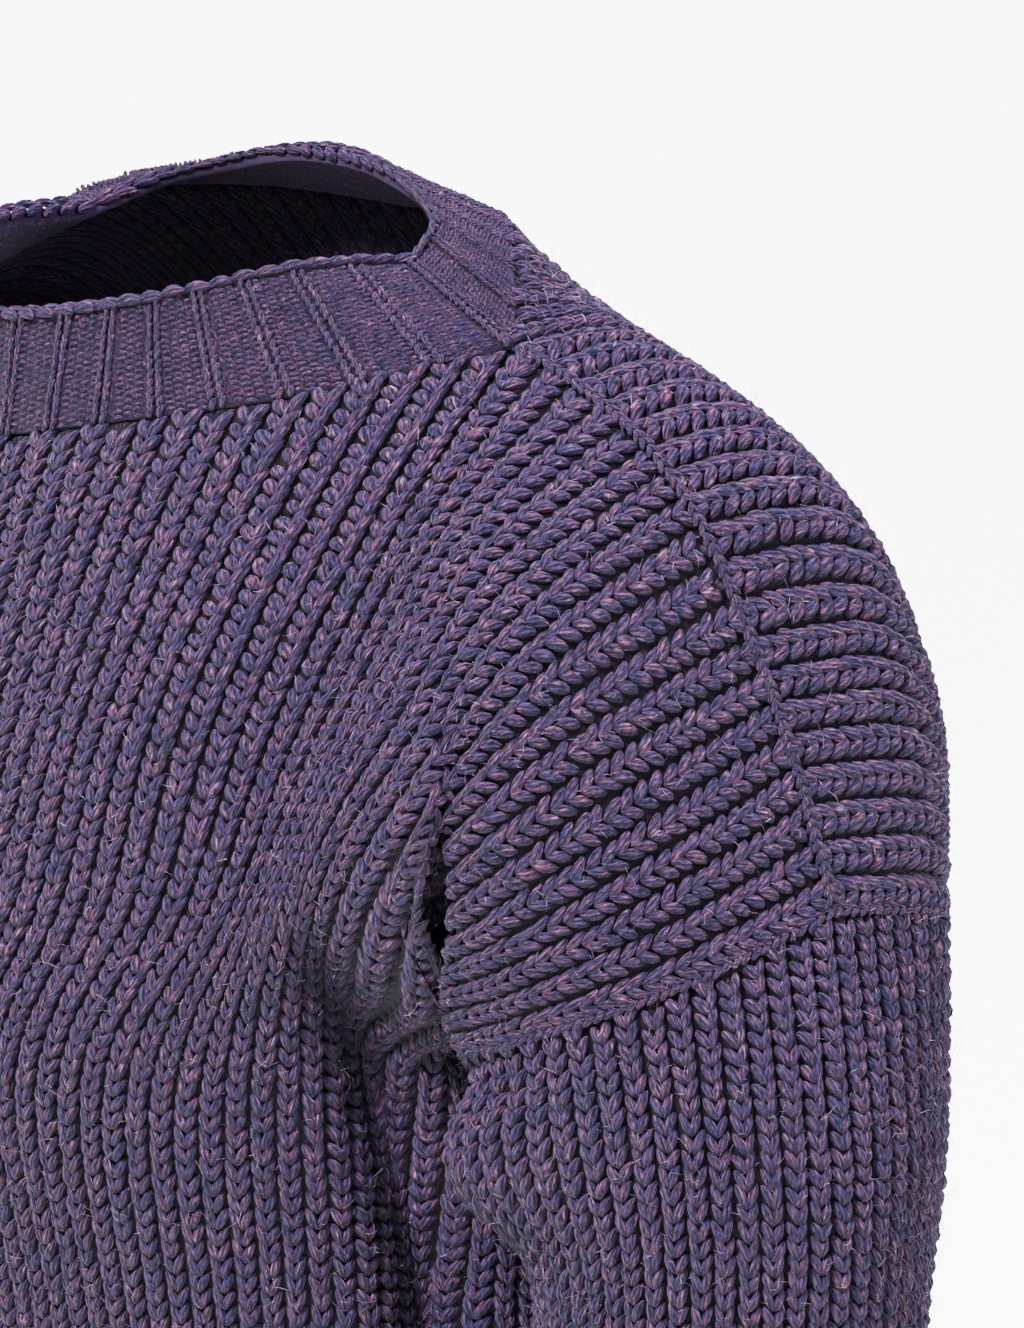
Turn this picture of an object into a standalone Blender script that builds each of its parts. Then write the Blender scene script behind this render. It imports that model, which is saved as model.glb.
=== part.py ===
"""A fisherman's rib sweater in the hollow form it has when worn.

Five knitted pieces are modelled, each a closed wall of its own: front, back, two sleeves and the
neckband. The body pieces are plain rectangles of rib with a dropped shoulder, so every rib runs
from the hem up the chest, bends round the upper arm and ends at the shoulder seam. The wall's
outer points carry the ribs and its inside is plain.

Frame: metres, +Z up, the wearer faces -Y and +X is the wearer's left. The origin is the middle of
the shoulder line, level with the two corners of the neck opening.
"""

import math
from collections import namedtuple

import bmesh
import bpy
import numpy as np

CM = 0.01
COLLECTION = "fisherman_sweater"

# The cloth
WALL = 0.0036          # from the ribs' mid height to the plain inside
RIB_RISE = 0.0012      # crest above mid height, and valley below it
BAND_RISE = 0.0010     # ridge of the neckband above its flat rib
SEAM_GAP = 0.0006      # clear space between two sewn edges
INSIDE_GAP = 0.0016    # the same on the plain inside, whose columns are further apart

# Counts of the knitting, for one half of a body piece
BODY_RIBS = 36         # from the middle to the side seam
NECK_RIBS = 17         # of these, the ones that end at the neckband
SLEEVE_RIBS = 52       # all round
BAND_RIBS_FRONT = 18   # wide ribs of the neckband
BAND_RIBS_BACK = 16

# Where ribs pass. A row is one rib, counted from the middle, and a column one height on the body.
# The points are x, y and z in centimetres on the wearer's left.
Course = namedtuple("Course", "rib edge shoulder chest armpit")
FRONT_COURSES = (
    Course(0, (0.0, -8.4, -4.5), (0.0, -9.7, -8.0), (0.0, -11.0, -12.0), (0.0, -12.1, -15.8)),
    Course(6, (5.2, -7.5, -3.7), (5.2, -8.9, -7.2), (5.0, -10.3, -11.4), (4.7, -11.4, -15.5)),
    Course(12, (9.6, -4.4, -2.7), (9.3, -6.6, -6.4), (8.9, -8.7, -10.8), (8.5, -9.8, -15.2)),
    Course(17, (12.0, 0.0, -1.6), (12.5, -3.3, -5.0), (11.8, -6.1, -10.2), (11.3, -7.9, -14.8)),
    Course(22, (16.6, 0.6, -3.6), (16.0, -3.2, -6.0), (14.9, -5.6, -10.0), (13.2, -7.2, -14.4)),
    Course(25, (18.4, 0.9, -5.3), (17.9, -3.2, -7.4), (16.3, -5.5, -10.8), (13.8, -6.3, -14.8)),
    Course(28, (19.6, 1.5, -7.9), (19.0, -3.0, -9.8), (17.0, -5.4, -12.4), (14.1, -5.2, -15.4)),
    Course(32, (20.8, 2.0, -11.0), (20.4, -2.0, -12.8), (17.8, -4.7, -15.0), (14.4, -4.3, -16.8)),
    Course(36, (22.0, 2.3, -14.4), (21.3, -1.4, -15.8), (18.2, -4.1, -17.4), (14.9, -3.4, -18.4)),
)
BACK_COURSES = (
    Course(0, (0.0, 5.0, 0.6), (0.0, 7.2, -3.2), (0.0, 9.0, -8.0), (0.0, 10.2, -13.2)),
    Course(6, (5.8, 3.9, 0.7), (5.7, 6.6, -2.7), (5.5, 8.9, -7.7), (5.1, 10.2, -13.0)),
    Course(12, (9.8, 1.5, 0.2), (10.0, 4.6, -1.7), (9.6, 8.2, -6.8), (8.9, 9.9, -12.6)),
    Course(17, (12.0, 0.0, -1.6), (12.5, 3.2, -1.5), (12.3, 7.4, -5.6), (11.5, 9.7, -12.0)),
    Course(22, (16.6, 0.6, -3.6), (16.8, 4.0, -3.4), (15.9, 7.9, -7.4), (13.5, 9.3, -13.0)),
    Course(25, (18.4, 0.9, -5.3), (18.8, 4.7, -5.2), (17.4, 8.0, -9.4), (14.2, 8.7, -14.2)),
    Course(28, (19.6, 1.5, -7.9), (19.8, 5.3, -7.9), (18.3, 8.2, -11.5), (14.6, 7.8, -15.5)),
    Course(32, (20.8, 2.0, -11.0), (20.8, 5.6, -11.2), (18.5, 8.0, -13.9), (14.9, 6.5, -16.8)),
    Course(36, (22.0, 2.3, -14.4), (21.3, 5.9, -14.9), (18.3, 7.5, -16.3), (15.1, 5.4, -18.0)),
)

# Level rings of the body below the arms: z, half width, reach of the front and of the back from the
# middle, and y of the side seam, in centimetres.
Ring = namedtuple("Ring", "z half front back side")
BODY_RINGS = (
    Ring(-19.5, 14.0, 12.5, 10.6, 1.2),
    Ring(-27.0, 14.1, 10.9, 10.4, 1.0),
    Ring(-38.0, 14.4, 10.2, 10.0, 0.8),
    Ring(-50.0, 15.8, 10.9, 11.0, 0.6),
    Ring(-59.0, 16.6, 11.4, 11.6, 0.5),
)
RING_POWER = 2.3                    # 2 is an ellipse, more is squarer
UNDERARM = (14.5, 1.1, -18.9)       # where side seam, front, back and sleeve meet
DROP = (0.0, 0.10, 0.24, 0.38, 0.50, 0.63, 0.76, 0.89, 1.0)  # share of the way down, edge to hem
AT_UNDERARM = 4                     # place of the top body ring in DROP

# Soft folds: the ribs that the crest passes at its start, middle and end, the shares of the way down
# where it starts and ends, its half width in ribs, and its height out of the cloth and its lean
# along FOLD_WAY, in centimetres.
Fold = namedtuple("Fold", "front ribs start end width height lean")
FOLD_WAY = (0.57, 0.82, 0.0)  # out to the side and to the back
FOLDS = (
    Fold(True, (20.0, 26.3, 27.6), 0.15, 0.50, 2.3, 1.25, 1.20),
    Fold(True, (22.5, 31.2, 29.0), 0.20, 0.50, 1.3, -2.00, 0.0),
    Fold(True, (22.8, 26.6, 29.5), 0.38, 0.66, 1.8, -1.80, 0.0),
    Fold(False, (20.0, 22.0, 24.0), 0.16, 0.55, 2.6, 0.80, 0.2),
    Fold(False, (24.5, 26.8, 29.0), 0.22, 0.52, 2.2, -0.90, 0.0),
)

# Rim of the neckband: the body rib it stands over, and its point in centimetres.
Rim = namedtuple("Rim", "rib point")
FRONT_RIM = (
    Rim(0, (0.0, -8.0, -1.5)),
    Rim(5, (3.7, -6.9, -1.05)),
    Rim(9.5, (5.7, -5.2, -0.5)),
    Rim(13.5, (7.0, -3.0, 0.0)),
    Rim(17, (7.5, 0.0, 0.0)),
)
BACK_RIM = (
    Rim(0, (0.0, 2.7, 1.9)),
    Rim(6, (2.8, 2.5, 1.7)),
    Rim(10, (4.8, 2.1, 1.25)),
    Rim(14, (6.6, 1.3, 0.7)),
    Rim(17, (7.5, 0.0, 0.0)),
)

# Rings of the sleeve: share of its length, z, middle x and y, half width, half depth and how much
# higher the outer side is, in centimetres. The armhole itself is the first ring.
Cuffward = namedtuple("Cuffward", "share z x y half deep rise")
SLEEVE_RINGS = (
    Cuffward(0.10, -20.6, 19.2, 1.6, 4.55, 5.2, 0.9),
    Cuffward(0.22, -24.5, 19.4, 1.3, 4.6, 4.7, 0.1),
    Cuffward(0.37, -31.0, 19.5, 0.9, 4.5, 4.5, 0.0),
    Cuffward(0.58, -40.0, 20.0, 0.0, 4.1, 4.2, 0.0),
    Cuffward(0.82, -50.0, 20.9, -1.8, 3.6, 3.7, 0.0),
    Cuffward(1.00, -57.5, 21.5, -3.6, 3.3, 3.4, 0.0),
)
# The slack of the sleeve bulges out below the underarm, to the inner front.
POUCH_ROUND = 0.345       # share of the way round, from the outer side through the front
POUCH_ALONG = 0.095       # share of the sleeve's length
POUCH_SPREAD = (0.10, 0.065)
POUCH_START = 0.06
POUCH_REACH = 2.0         # centimetres
POUCH_WAY = (-0.45, -0.85, -0.10)

# Where the walls have their rows and their plain inside has its columns
PANEL_ROWS = (0.0, 0.05, 0.11, 0.18, 0.25, 0.32, 0.38, 0.43, 0.47, 0.50, 0.56, 0.65, 0.82, 1.0)
SLEEVE_ROWS = (0.0, 0.035, 0.08, 0.13, 0.19, 0.27, 0.40, 0.60, 0.80, 1.0)
BAND_ROWS = (0.0, 0.35, 0.70, 1.0)
INSIDE_RIBS = (0, 2, 4, 6, 8, 10, 12, 14, 16, 17, 19, 21, 22, 23, 24, 25, 26, 27, 28, 30, 32, 34, 36)
SLEEVE_INSIDE_STEP = 4    # outer points for each inner one round the sleeve
BAND_RIDGE = ((0.15, 1), (0.22, 0), (0.78, 0), (0.85, 1))  # place in a wide rib, raised or not
UNDERARM_CALM = 5.0       # centimetres from the underarm over which the ribs lie flat
UNDERARM_SLACK = 0.0028   # how much lower the sleeve's edge lies there
SLACK_REACH = 8.0         # centimetres from the underarm over which it does
OPEN_PITCH = 0.32         # centimetres between crest and valley below which the ribs flatten

Finish = namedtuple("Finish", "color roughness")
WOOL = Finish((0.118, 0.078, 0.190, 1.0), 0.92)
BAND_WOOL = Finish((0.105, 0.070, 0.165, 1.0), 0.92)


def smooth(x):
    """A soft step from 0 to 1."""
    x = np.clip(x, 0.0, 1.0)
    return x * x * (3.0 - 2.0 * x)


def unit(v):
    """Vectors at length 1."""
    return v / (np.linalg.norm(v, axis=-1, keepdims=True) + 1e-12)


def curve(knots, values, x, turn=None):
    """A smooth curve through values at uneven knots. turn is a knot's place and, for each column,
    how far the curve there takes its direction from the stretch after it."""
    knots = np.asarray(knots, float)
    values = np.asarray(values, float)
    x = np.asarray(x, float)
    extra = (1,) * (values.ndim - 1)
    span = np.diff(knots).reshape((-1,) + extra)
    rise = np.diff(values, axis=0) / span
    slope = np.empty_like(values)
    slope[1:-1] = (rise[:-1] * span[1:] + rise[1:] * span[:-1]) / (span[:-1] + span[1:])
    slope[0] = 1.5 * rise[0] - 0.5 * slope[1]
    slope[-1] = 1.5 * rise[-1] - 0.5 * slope[-2]
    if turn is not None:
        k, share = turn
        share = share[:, None]
        onward = 1.5 * rise[k] - 0.5 * slope[k + 1]
        slope[k] = slope[k] * (1.0 - share) + onward * share
    i = np.clip(np.searchsorted(knots, x, side="right") - 1, 0, len(knots) - 2)
    width = (knots[i + 1] - knots[i]).reshape(x.shape + extra)
    t = ((x - knots[i])).reshape(x.shape + extra) / width
    t2, t3 = t * t, t * t * t
    return ((2 * t3 - 3 * t2 + 1) * values[i] + (t3 - 2 * t2 + t) * width * slope[i]
            + (3 * t2 - 2 * t3) * values[i + 1] + (t3 - t2) * width * slope[i + 1])


def mirrored(rows):
    """Rows of (rib, points) with the second one repeated on the other side of the middle."""
    rib, points = rows[1]
    return [(-rib, np.asarray(points, float) * (-1.0, 1.0, 1.0))] + list(rows)


def through(rows, ribs):
    """The smooth curve through rows of (rib, points) that is level at the middle."""
    rows = mirrored(rows)
    return curve([r[0] for r in rows], [np.asarray(r[1], float) for r in rows], ribs)


def edge_line(ribs, front):
    """The upper edge of a body piece: the neckline up to NECK_RIBS, then the shoulder seam."""
    courses = FRONT_COURSES if front else BACK_COURSES
    neck = [(c.rib, c.edge) for c in courses if c.rib <= NECK_RIBS]
    seam = [c for c in FRONT_COURSES if c.rib >= NECK_RIBS]
    neckline = through(neck, np.minimum(ribs, NECK_RIBS))
    shoulder = curve([c.rib for c in seam], [c.edge for c in seam], np.maximum(ribs, NECK_RIBS))
    return np.where((ribs > NECK_RIBS)[:, None], shoulder, neckline)


def ring_line(ring, share, front):
    """Points of a body ring at a share of its length from the middle to the side seam."""
    depth = ring.front + ring.side if front else ring.back - ring.side
    angle = np.linspace(0.0, math.pi / 2, 200)
    x = ring.half * np.sin(angle) ** (2 / RING_POWER)
    y = depth * np.cos(angle) ** (2 / RING_POWER)
    run = np.concatenate([[0.0], np.cumsum(np.hypot(np.diff(x), np.diff(y)))])
    run /= run[-1]
    out = -1.0 if front else 1.0
    return np.stack([np.interp(share, run, x), ring.side + out * np.interp(share, run, y),
                     np.full_like(share, ring.z)], -1)


def unfolded(ribs, times, front):
    """The worn body piece without its folds: points for each rib and share of the way down."""
    courses = FRONT_COURSES if front else BACK_COURSES
    top = through([(c.rib, np.array(c[1:])) for c in courses], ribs)
    top[:, 0] = edge_line(ribs, front)
    share = ribs / BODY_RIBS
    low = np.stack([ring_line(ring, share, front) for ring in BODY_RINGS], 1)
    side = smooth((ribs - 29.0) / 7.0)
    corner = ring_line(BODY_RINGS[0], np.ones(1), front)[0]
    low[:, 0] += (np.clip((ribs - 29.0) / 7.0, 0, 1) ** 2)[:, None] * (np.array(UNDERARM) - corner)
    points = np.swapaxes(np.concatenate([top, low], 1), 0, 1)
    return np.swapaxes(curve(DROP, points, times, (AT_UNDERARM, side)), 0, 1)


def slopes(surface, ribs, times, limit):
    """Outward normals and the directions along the ribs' numbers and down, by small steps."""
    step_r, step_t = 0.02, 0.001
    r0, r1 = np.maximum(ribs - step_r, 0.0), np.minimum(ribs + step_r, limit)
    t0, t1 = np.maximum(times - step_t, 0.0), np.minimum(times + step_t, 1.0)
    across = surface(r1, times) - surface(r0, times)
    down = surface(ribs, t1) - surface(ribs, t0)
    return unit(np.cross(down, across)), unit(across), unit(down)


def body_half(ribs, times, front):
    """One half of a worn body piece with its folds, in centimetres."""
    ribs, times = np.asarray(ribs, float), np.asarray(times, float)
    points = unfolded(ribs, times, front)
    out, _, _ = slopes(lambda r, t: unfolded(r, t, front), ribs, times, BODY_RIBS)
    out = out if front else -out
    for fold in FOLDS:
        if fold.front == front:
            along = np.clip((times - fold.start) / (fold.end - fold.start), 0.0, 1.0)
            first, middle, last = fold.ribs
            crest = (first * (1.0 - along) * (1.0 - 2.0 * along)
                     + 4.0 * middle * along * (1.0 - along) + last * along * (2.0 * along - 1.0))
            strength = smooth(along / 0.4) * smooth((1.0 - along) / 0.18)
            bell = np.exp(-(((ribs[:, None] - crest[None, :]) / fold.width) ** 2)) * strength
            way = out * fold.height + np.array(FOLD_WAY) * fold.lean
            points = points + way * bell[..., None]
    return points


def body_normals(ribs, times, front):
    """Outward normals of body_half."""
    out, _, _ = slopes(lambda r, t: body_half(r, t, front), ribs, times, BODY_RIBS)
    return out if front else -out


def armhole_course(front):
    """The armhole edge of one body piece as (share of its length, share of the way down)."""
    times = np.linspace(0.0, DROP[AT_UNDERARM], 120)
    line = body_half([float(BODY_RIBS)], times, front)[0]
    run = np.concatenate([[0.0], np.cumsum(np.linalg.norm(np.diff(line, axis=0), axis=1))])
    return run / run[-1], times


def armhole(shares):
    """The armhole ring, and the body pieces' normals on it. Share 0 is its outer top and 0.5 the
    underarm, by way of the front."""
    points, out = np.empty((len(shares), 3)), np.empty((len(shares), 3))
    for front in (True, False):
        run, times = armhole_course(front)
        mine = shares <= 0.5 if front else shares > 0.5
        half = 2 * shares[mine] if front else 2 * (1.0 - shares[mine])
        at = np.interp(half, run, times)
        rib = [float(BODY_RIBS)]
        points[mine] = body_half(rib, at, front)[0]
        out[mine] = body_normals(np.array(rib), at, front)[0]
    return points, out


def sleeve_tube(shares, times):
    """The left sleeve: points for each share of the way round and along."""
    shares, times = np.asarray(shares, float), np.asarray(times, float)
    angle = shares * 2 * math.pi
    rings = [armhole(shares % 1.0)[0]]
    for r in SLEEVE_RINGS:
        rings.append(np.stack([r.x + r.half * np.cos(angle), r.y - r.deep * np.sin(angle),
                               r.z + r.rise * np.cos(angle)], -1))
    tube = np.swapaxes(curve([0.0] + [r.share for r in SLEEVE_RINGS], np.stack(rings), times), 0, 1)
    bell = (np.exp(-(((shares[:, None] - POUCH_ROUND) / POUCH_SPREAD[0]) ** 2))
            * np.exp(-(((times[None, :] - POUCH_ALONG) / POUCH_SPREAD[1]) ** 2))
            * smooth(times[None, :] / POUCH_START))
    return tube + POUCH_REACH * bell[..., None] * np.array(POUCH_WAY)


def sleeve_normals(shares, times):
    """Outward normals of the sleeve."""
    step_s, step_t = 0.002, 0.002
    t0, t1 = np.maximum(times - step_t, 0.0), np.minimum(times + step_t, 1.0)
    around = sleeve_tube((shares + step_s) % 1.0, times) - sleeve_tube((shares - step_s) % 1.0, times)
    down = sleeve_tube(shares, t1) - sleeve_tube(shares, t0)
    return unit(np.cross(around, down))


def band_half(ribs, heights, front):
    """One half of the neckband between its edge on the body (height 0) and its rim (height 1)."""
    ribs = np.asarray(ribs, float)
    base = edge_line(ribs, front)
    rim = through([(r.rib, r.point) for r in (FRONT_RIM if front else BACK_RIM)], ribs)
    h = np.asarray(heights, float)[None, :, None]
    return base[:, None] * (1.0 - h) + rim[:, None] * h


def band_normals(ribs, heights, front):
    """Outward normals of band_half."""
    surface = lambda r, h: band_half(r, h, front)
    out, _, _ = slopes(surface, np.asarray(ribs, float), np.asarray(heights, float), NECK_RIBS)
    return -out if front else out


def edge_normals(ribs, front):
    """Normals along a body piece's upper edge, shared with the pieces that are sewn to it."""
    first = np.zeros(1)
    mine = body_normals(ribs, first, front)[:, 0]
    across = body_normals(ribs, first, not front)[:, 0]
    at_neck = np.minimum(ribs, NECK_RIBS)
    band = band_normals(at_neck, first, front)[:, 0]
    band_across = band_normals(at_neck, first, not front)[:, 0]
    neck, corner = (ribs < NECK_RIBS)[:, None], (ribs == NECK_RIBS)[:, None]
    shared = np.where(neck, mine + band, mine + across)
    return unit(np.where(corner, mine + across + band + band_across, shared))


def pulled_in(points, normals, amount, row=None, column=None):
    """Moves one edge of a grid of points back along the cloth by an amount, or amounts, in metres."""
    if row is not None:
        step = points[:, row + 1 if row == 0 else row - 1] - points[:, row]
        n = normals[:, row]
    else:
        step = points[column + 1 if column == 0 else column - 1] - points[column]
        n = normals[column]
    amount = np.reshape(amount, (-1, 1))
    step = unit(step - n * np.sum(step * n, -1, keepdims=True)) * amount / CM
    if row is not None:
        points[:, row] += step
    else:
        points[column] += step


def two_sided(half, columns):
    """A grid for signed columns from the grid of one half."""
    grid = half.copy()
    grid[columns < 0, ..., 0] *= -1.0
    return grid


def body_grid(columns, times, front):
    """Points and shared normals of a whole body piece at signed columns."""
    ribs = np.abs(columns)
    points = body_half(ribs, times, front)
    out = body_normals(ribs, times, front)
    out[:, 0] = edge_normals(ribs, front)
    below = times >= DROP[AT_UNDERARM]
    last = [float(BODY_RIBS)]
    side = body_normals(np.array(last), times[below], not front)[0]
    run, course = armhole_course(front)
    around = np.interp(times[~below], course, run) / 2
    around = around if front else 1.0 - around
    arm = sleeve_normals(around, np.zeros(1))[:, 0]
    for k in np.flatnonzero(ribs == BODY_RIBS):
        out[k, below] = unit(out[k, below] + side)
        out[k, ~below] = unit(out[k, ~below] + arm)
    return two_sided(points, columns), two_sided(out, columns)


def calm(points, reach):
    """How strongly the ribs stand up: less close to the underarm."""
    away = np.linalg.norm(np.abs(points) * (1, 0, 0) + points * (0, 1, 1) - UNDERARM, axis=-1)
    return smooth(away / reach)


def open_share(points):
    """How far neighbouring columns are spread: less than 1 where a fold squeezes the ribs."""
    step = np.linalg.norm(np.diff(points, axis=0), axis=-1)
    near = np.minimum(np.concatenate([step[:1], step]), np.concatenate([step, step[-1:]]))
    return np.clip(near / OPEN_PITCH, 0.0, 1.0) ** 1.5


def wall(name, outer, inner, stops, closed):
    """A closed wall between an outer and an inner grid of points, in centimetres.

    stops gives, for each inner column, the outer column that it lies behind. The strips between
    the two grids are fans, because the outside has more columns than the inside.
    """
    bm = bmesh.new()
    outs = [[bm.verts.new(p * CM) for p in column] for column in outer]
    ins = [[bm.verts.new(p * CM) for p in column] for column in inner]
    rows = len(outer[0])
    for grid in (outs, ins):
        pairs = list(zip(grid, grid[1:])) + ([(grid[-1], grid[0])] if closed else [])
        for a, b in pairs:
            for j in range(rows - 1):
                bm.faces.new((a[j], b[j], b[j + 1], a[j + 1]))
    count = len(outs)
    ends = list(stops) + ([count] if closed else [])
    for row in (0, rows - 1):
        for k in range(len(ends) - 1):
            near, far = ins[k][row], ins[(k + 1) % len(ins)][row]
            middle = (ends[k] + ends[k + 1]) // 2
            for c in range(ends[k], ends[k + 1]):
                a, b = outs[c % count][row], outs[(c + 1) % count][row]
                bm.faces.new((a, b, near if c < middle else far))
                if c + 1 == middle or (c == ends[k] and middle == ends[k]):
                    joint = outs[middle % count][row]
                    bm.faces.new((joint, far, near))
    if not closed:
        for k in (0, -1):
            for j in range(rows - 1):
                bm.faces.new((outs[k][j], outs[k][j + 1], ins[k][j + 1], ins[k][j]))
    bmesh.ops.recalc_face_normals(bm, faces=bm.faces)
    mesh = bpy.data.meshes.new(name)
    bm.to_mesh(mesh)
    bm.free()
    return bpy.data.objects.new(name, mesh)


def body_piece(name, front):
    """The front or the back: a rectangle of rib from the hem to neckline and shoulder seams."""
    times = np.array(PANEL_ROWS)
    columns = np.arange(-BODY_RIBS, BODY_RIBS + 0.25, 0.5)
    inside = np.array([-r for r in reversed(INSIDE_RIBS[1:])] + list(INSIDE_RIBS), float)
    points, out = body_grid(columns, times, front)
    stops = [int(np.flatnonzero(columns == c)[0]) for c in inside]
    inner, inner_out = points[stops], out[stops]
    for grid, normals, gap in ((points, out, SEAM_GAP), (inner, inner_out, INSIDE_GAP)):
        pulled_in(grid, normals, gap / 2, row=0)
        for column in (0, len(grid) - 1):
            pulled_in(grid, normals, gap / 2, column=column)
    crest = np.where(columns % 1.0 == 0.5, 1.0, -1.0)[:, None]
    rise = RIB_RISE / CM * crest * calm(points, UNDERARM_CALM) * open_share(points)
    rise[0], rise[-1] = 0.0, 0.0
    outer = points + out * rise[..., None]
    inner = inner - inner_out * WALL / CM
    return wall(name, outer, inner, stops, closed=False)


def sleeve_piece(name, side):
    """A sleeve from the armhole to the cuff. side is 1 on the wearer's left and -1 on the right."""
    times = np.array(SLEEVE_ROWS)
    shares = np.arange(2 * SLEEVE_RIBS) / (2.0 * SLEEVE_RIBS)
    points = sleeve_tube(shares, times)
    out = sleeve_normals(shares, times)
    out[:, 0] = unit(out[:, 0] + armhole(shares)[1])
    stops = list(range(0, len(shares), SLEEVE_INSIDE_STEP))
    inner = points[stops]
    slack = UNDERARM_SLACK * (1.0 - calm(points[:, 0], SLACK_REACH))
    pulled_in(points, out, SEAM_GAP / 2 + slack, row=0)
    pulled_in(inner, out[stops], INSIDE_GAP / 2 + slack[stops], row=0)
    crest = np.where(np.arange(len(shares)) % 2 == 0, 1.0, -1.0)[:, None]
    rise = RIB_RISE / CM * crest * calm(points, UNDERARM_CALM)
    rise[:, 0] = 0.0
    outer = points + out * rise[..., None]
    inner = inner - out[stops] * WALL / CM
    flip = np.array((side, 1.0, 1.0))
    return wall(name, outer * flip, inner * flip, stops, closed=True)


def band_columns(count, ribs):
    """Signed columns of one side of the neckband, and whether each is raised."""
    places, raised = [], []
    for k in range(count):
        for share, high in BAND_RIDGE:
            places.append(-ribs + 2.0 * ribs * (k + share) / count)
            raised.append(high)
    return np.array(places), np.array(raised, float)


def band_piece(name):
    """The neckband: a closed band with wide ribs that meets the body at neckline and corners."""
    heights = np.array(BAND_ROWS)
    grids, outs, raised = [], [], []
    for front, count in ((True, BAND_RIBS_FRONT), (False, BAND_RIBS_BACK)):
        columns, high = band_columns(count, NECK_RIBS)
        columns = np.concatenate([[-NECK_RIBS], columns]) if front else np.append(columns, NECK_RIBS)
        high = np.concatenate([[1], high]) if front else np.append(high, 1)
        ribs = np.abs(columns)
        points = band_half(ribs, heights, front)
        out = band_normals(ribs, heights, front)
        corner = ribs == NECK_RIBS
        out[corner] = unit(out[corner] + band_normals(ribs[corner], heights, not front))
        out[:, 0] = edge_normals(ribs, front)
        points, out = two_sided(points, columns), two_sided(out, columns)
        order = slice(None) if front else slice(None, None, -1)
        grids.append(points[order])
        outs.append(out[order])
        raised.append(high[order])
    points, out, high = np.concatenate(grids), np.concatenate(outs), np.concatenate(raised)
    stops = list(range(0, len(points), 3))
    inner = points[stops]
    pulled_in(points, out, SEAM_GAP / 2, row=0)
    pulled_in(inner, out[stops], INSIDE_GAP / 2, row=0)
    outer = points + out * (high * BAND_RISE / CM)[:, None, None]
    inner = inner - out[stops] * WALL / CM
    return wall(name, outer, inner, stops, closed=True)


def give_finish(obj, finish):
    """Its own wool for a piece."""
    material = bpy.data.materials.new(obj.name + "_wool")
    material.use_nodes = True
    shader = material.node_tree.nodes["Principled BSDF"]
    shader.inputs["Base Color"].default_value = finish.color
    shader.inputs["Roughness"].default_value = finish.roughness
    shader.inputs["Metallic"].default_value = 0.0
    material.diffuse_color = finish.color
    obj.data.materials.append(material)
    obj.data.shade_smooth()
    obj.data.set_sharp_from_angle(angle=math.radians(60))


def main():
    """Builds the five pieces into their collection."""
    for obj in list(bpy.data.objects):
        bpy.data.objects.remove(obj)
    collection = bpy.data.collections.new(COLLECTION)
    bpy.context.scene.collection.children.link(collection)
    pieces = (
        (body_piece("front", True), WOOL),
        (body_piece("back", False), WOOL),
        (sleeve_piece("sleeve_left", 1), WOOL),
        (sleeve_piece("sleeve_right", -1), WOOL),
        (band_piece("neckband"), BAND_WOOL),
    )
    for obj, finish in pieces:
        collection.objects.link(obj)
        give_finish(obj, finish)


main()
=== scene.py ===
"""The looks of a fisherman's rib sweater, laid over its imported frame.

Each knitted piece of the frame gets a sheet of cloth with the same form. On the shoulder, chest and
arm the stitches lie on it as yarn, leg by leg; further away they are relief in the material.
Lengths in the tables are centimetres in the frame's axes: the wearer faces -Y and +X is the
wearer's left.
"""

import logging
import math
from dataclasses import dataclass
from enum import Enum
from typing import Callable, Iterable, NamedTuple, Sequence

import bmesh
import bpy
import numpy as np
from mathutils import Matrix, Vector


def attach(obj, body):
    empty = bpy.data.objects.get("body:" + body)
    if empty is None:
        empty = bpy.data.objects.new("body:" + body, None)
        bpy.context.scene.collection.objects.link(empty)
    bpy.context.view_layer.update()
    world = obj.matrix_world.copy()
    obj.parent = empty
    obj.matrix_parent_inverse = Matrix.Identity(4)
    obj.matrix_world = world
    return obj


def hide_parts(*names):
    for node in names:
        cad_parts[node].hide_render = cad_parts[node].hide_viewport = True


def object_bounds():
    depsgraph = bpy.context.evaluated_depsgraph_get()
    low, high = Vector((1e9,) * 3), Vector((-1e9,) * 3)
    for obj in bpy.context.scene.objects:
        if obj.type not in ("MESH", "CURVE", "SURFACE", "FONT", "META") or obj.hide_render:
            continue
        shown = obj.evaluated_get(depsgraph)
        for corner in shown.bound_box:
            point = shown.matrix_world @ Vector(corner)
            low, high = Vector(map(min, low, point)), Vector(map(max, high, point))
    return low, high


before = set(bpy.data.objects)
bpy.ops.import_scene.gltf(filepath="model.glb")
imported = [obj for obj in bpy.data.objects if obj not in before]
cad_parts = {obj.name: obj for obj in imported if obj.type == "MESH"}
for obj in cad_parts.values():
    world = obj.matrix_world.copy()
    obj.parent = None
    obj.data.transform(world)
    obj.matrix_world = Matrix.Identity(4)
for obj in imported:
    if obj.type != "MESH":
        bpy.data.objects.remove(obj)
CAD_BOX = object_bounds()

LOG = logging.getLogger("sweater")
logging.basicConfig(level=logging.INFO, format="%(message)s")

CM = 0.01

# The knitting
BODY_RIBS = 36
NECK_RIBS = 17
SLEEVE_RIBS = 52
COURSE = 0.42          # one V along a rib
PITCH = 0.86           # one rib across, where it is not squeezed
BAND_RIBS_FRONT = 18
BAND_RIBS_BACK = 16

# The cloth sheet: mid height to crest, mid height to the inside, and a seam's gap
RIB_RISE = 0.12
WALL = 0.32
SEAM_GAP = 0.06
EDGE_INSET = 0.01      # in ribs, of the sheet's side edges
YARN_BED = 0.06        # how far the sheet sinks under laid yarn, in centimetres
INNER_STEP, BAND_INNER_STEP = 4, 2        # outer columns for each column of the plain inside


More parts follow.
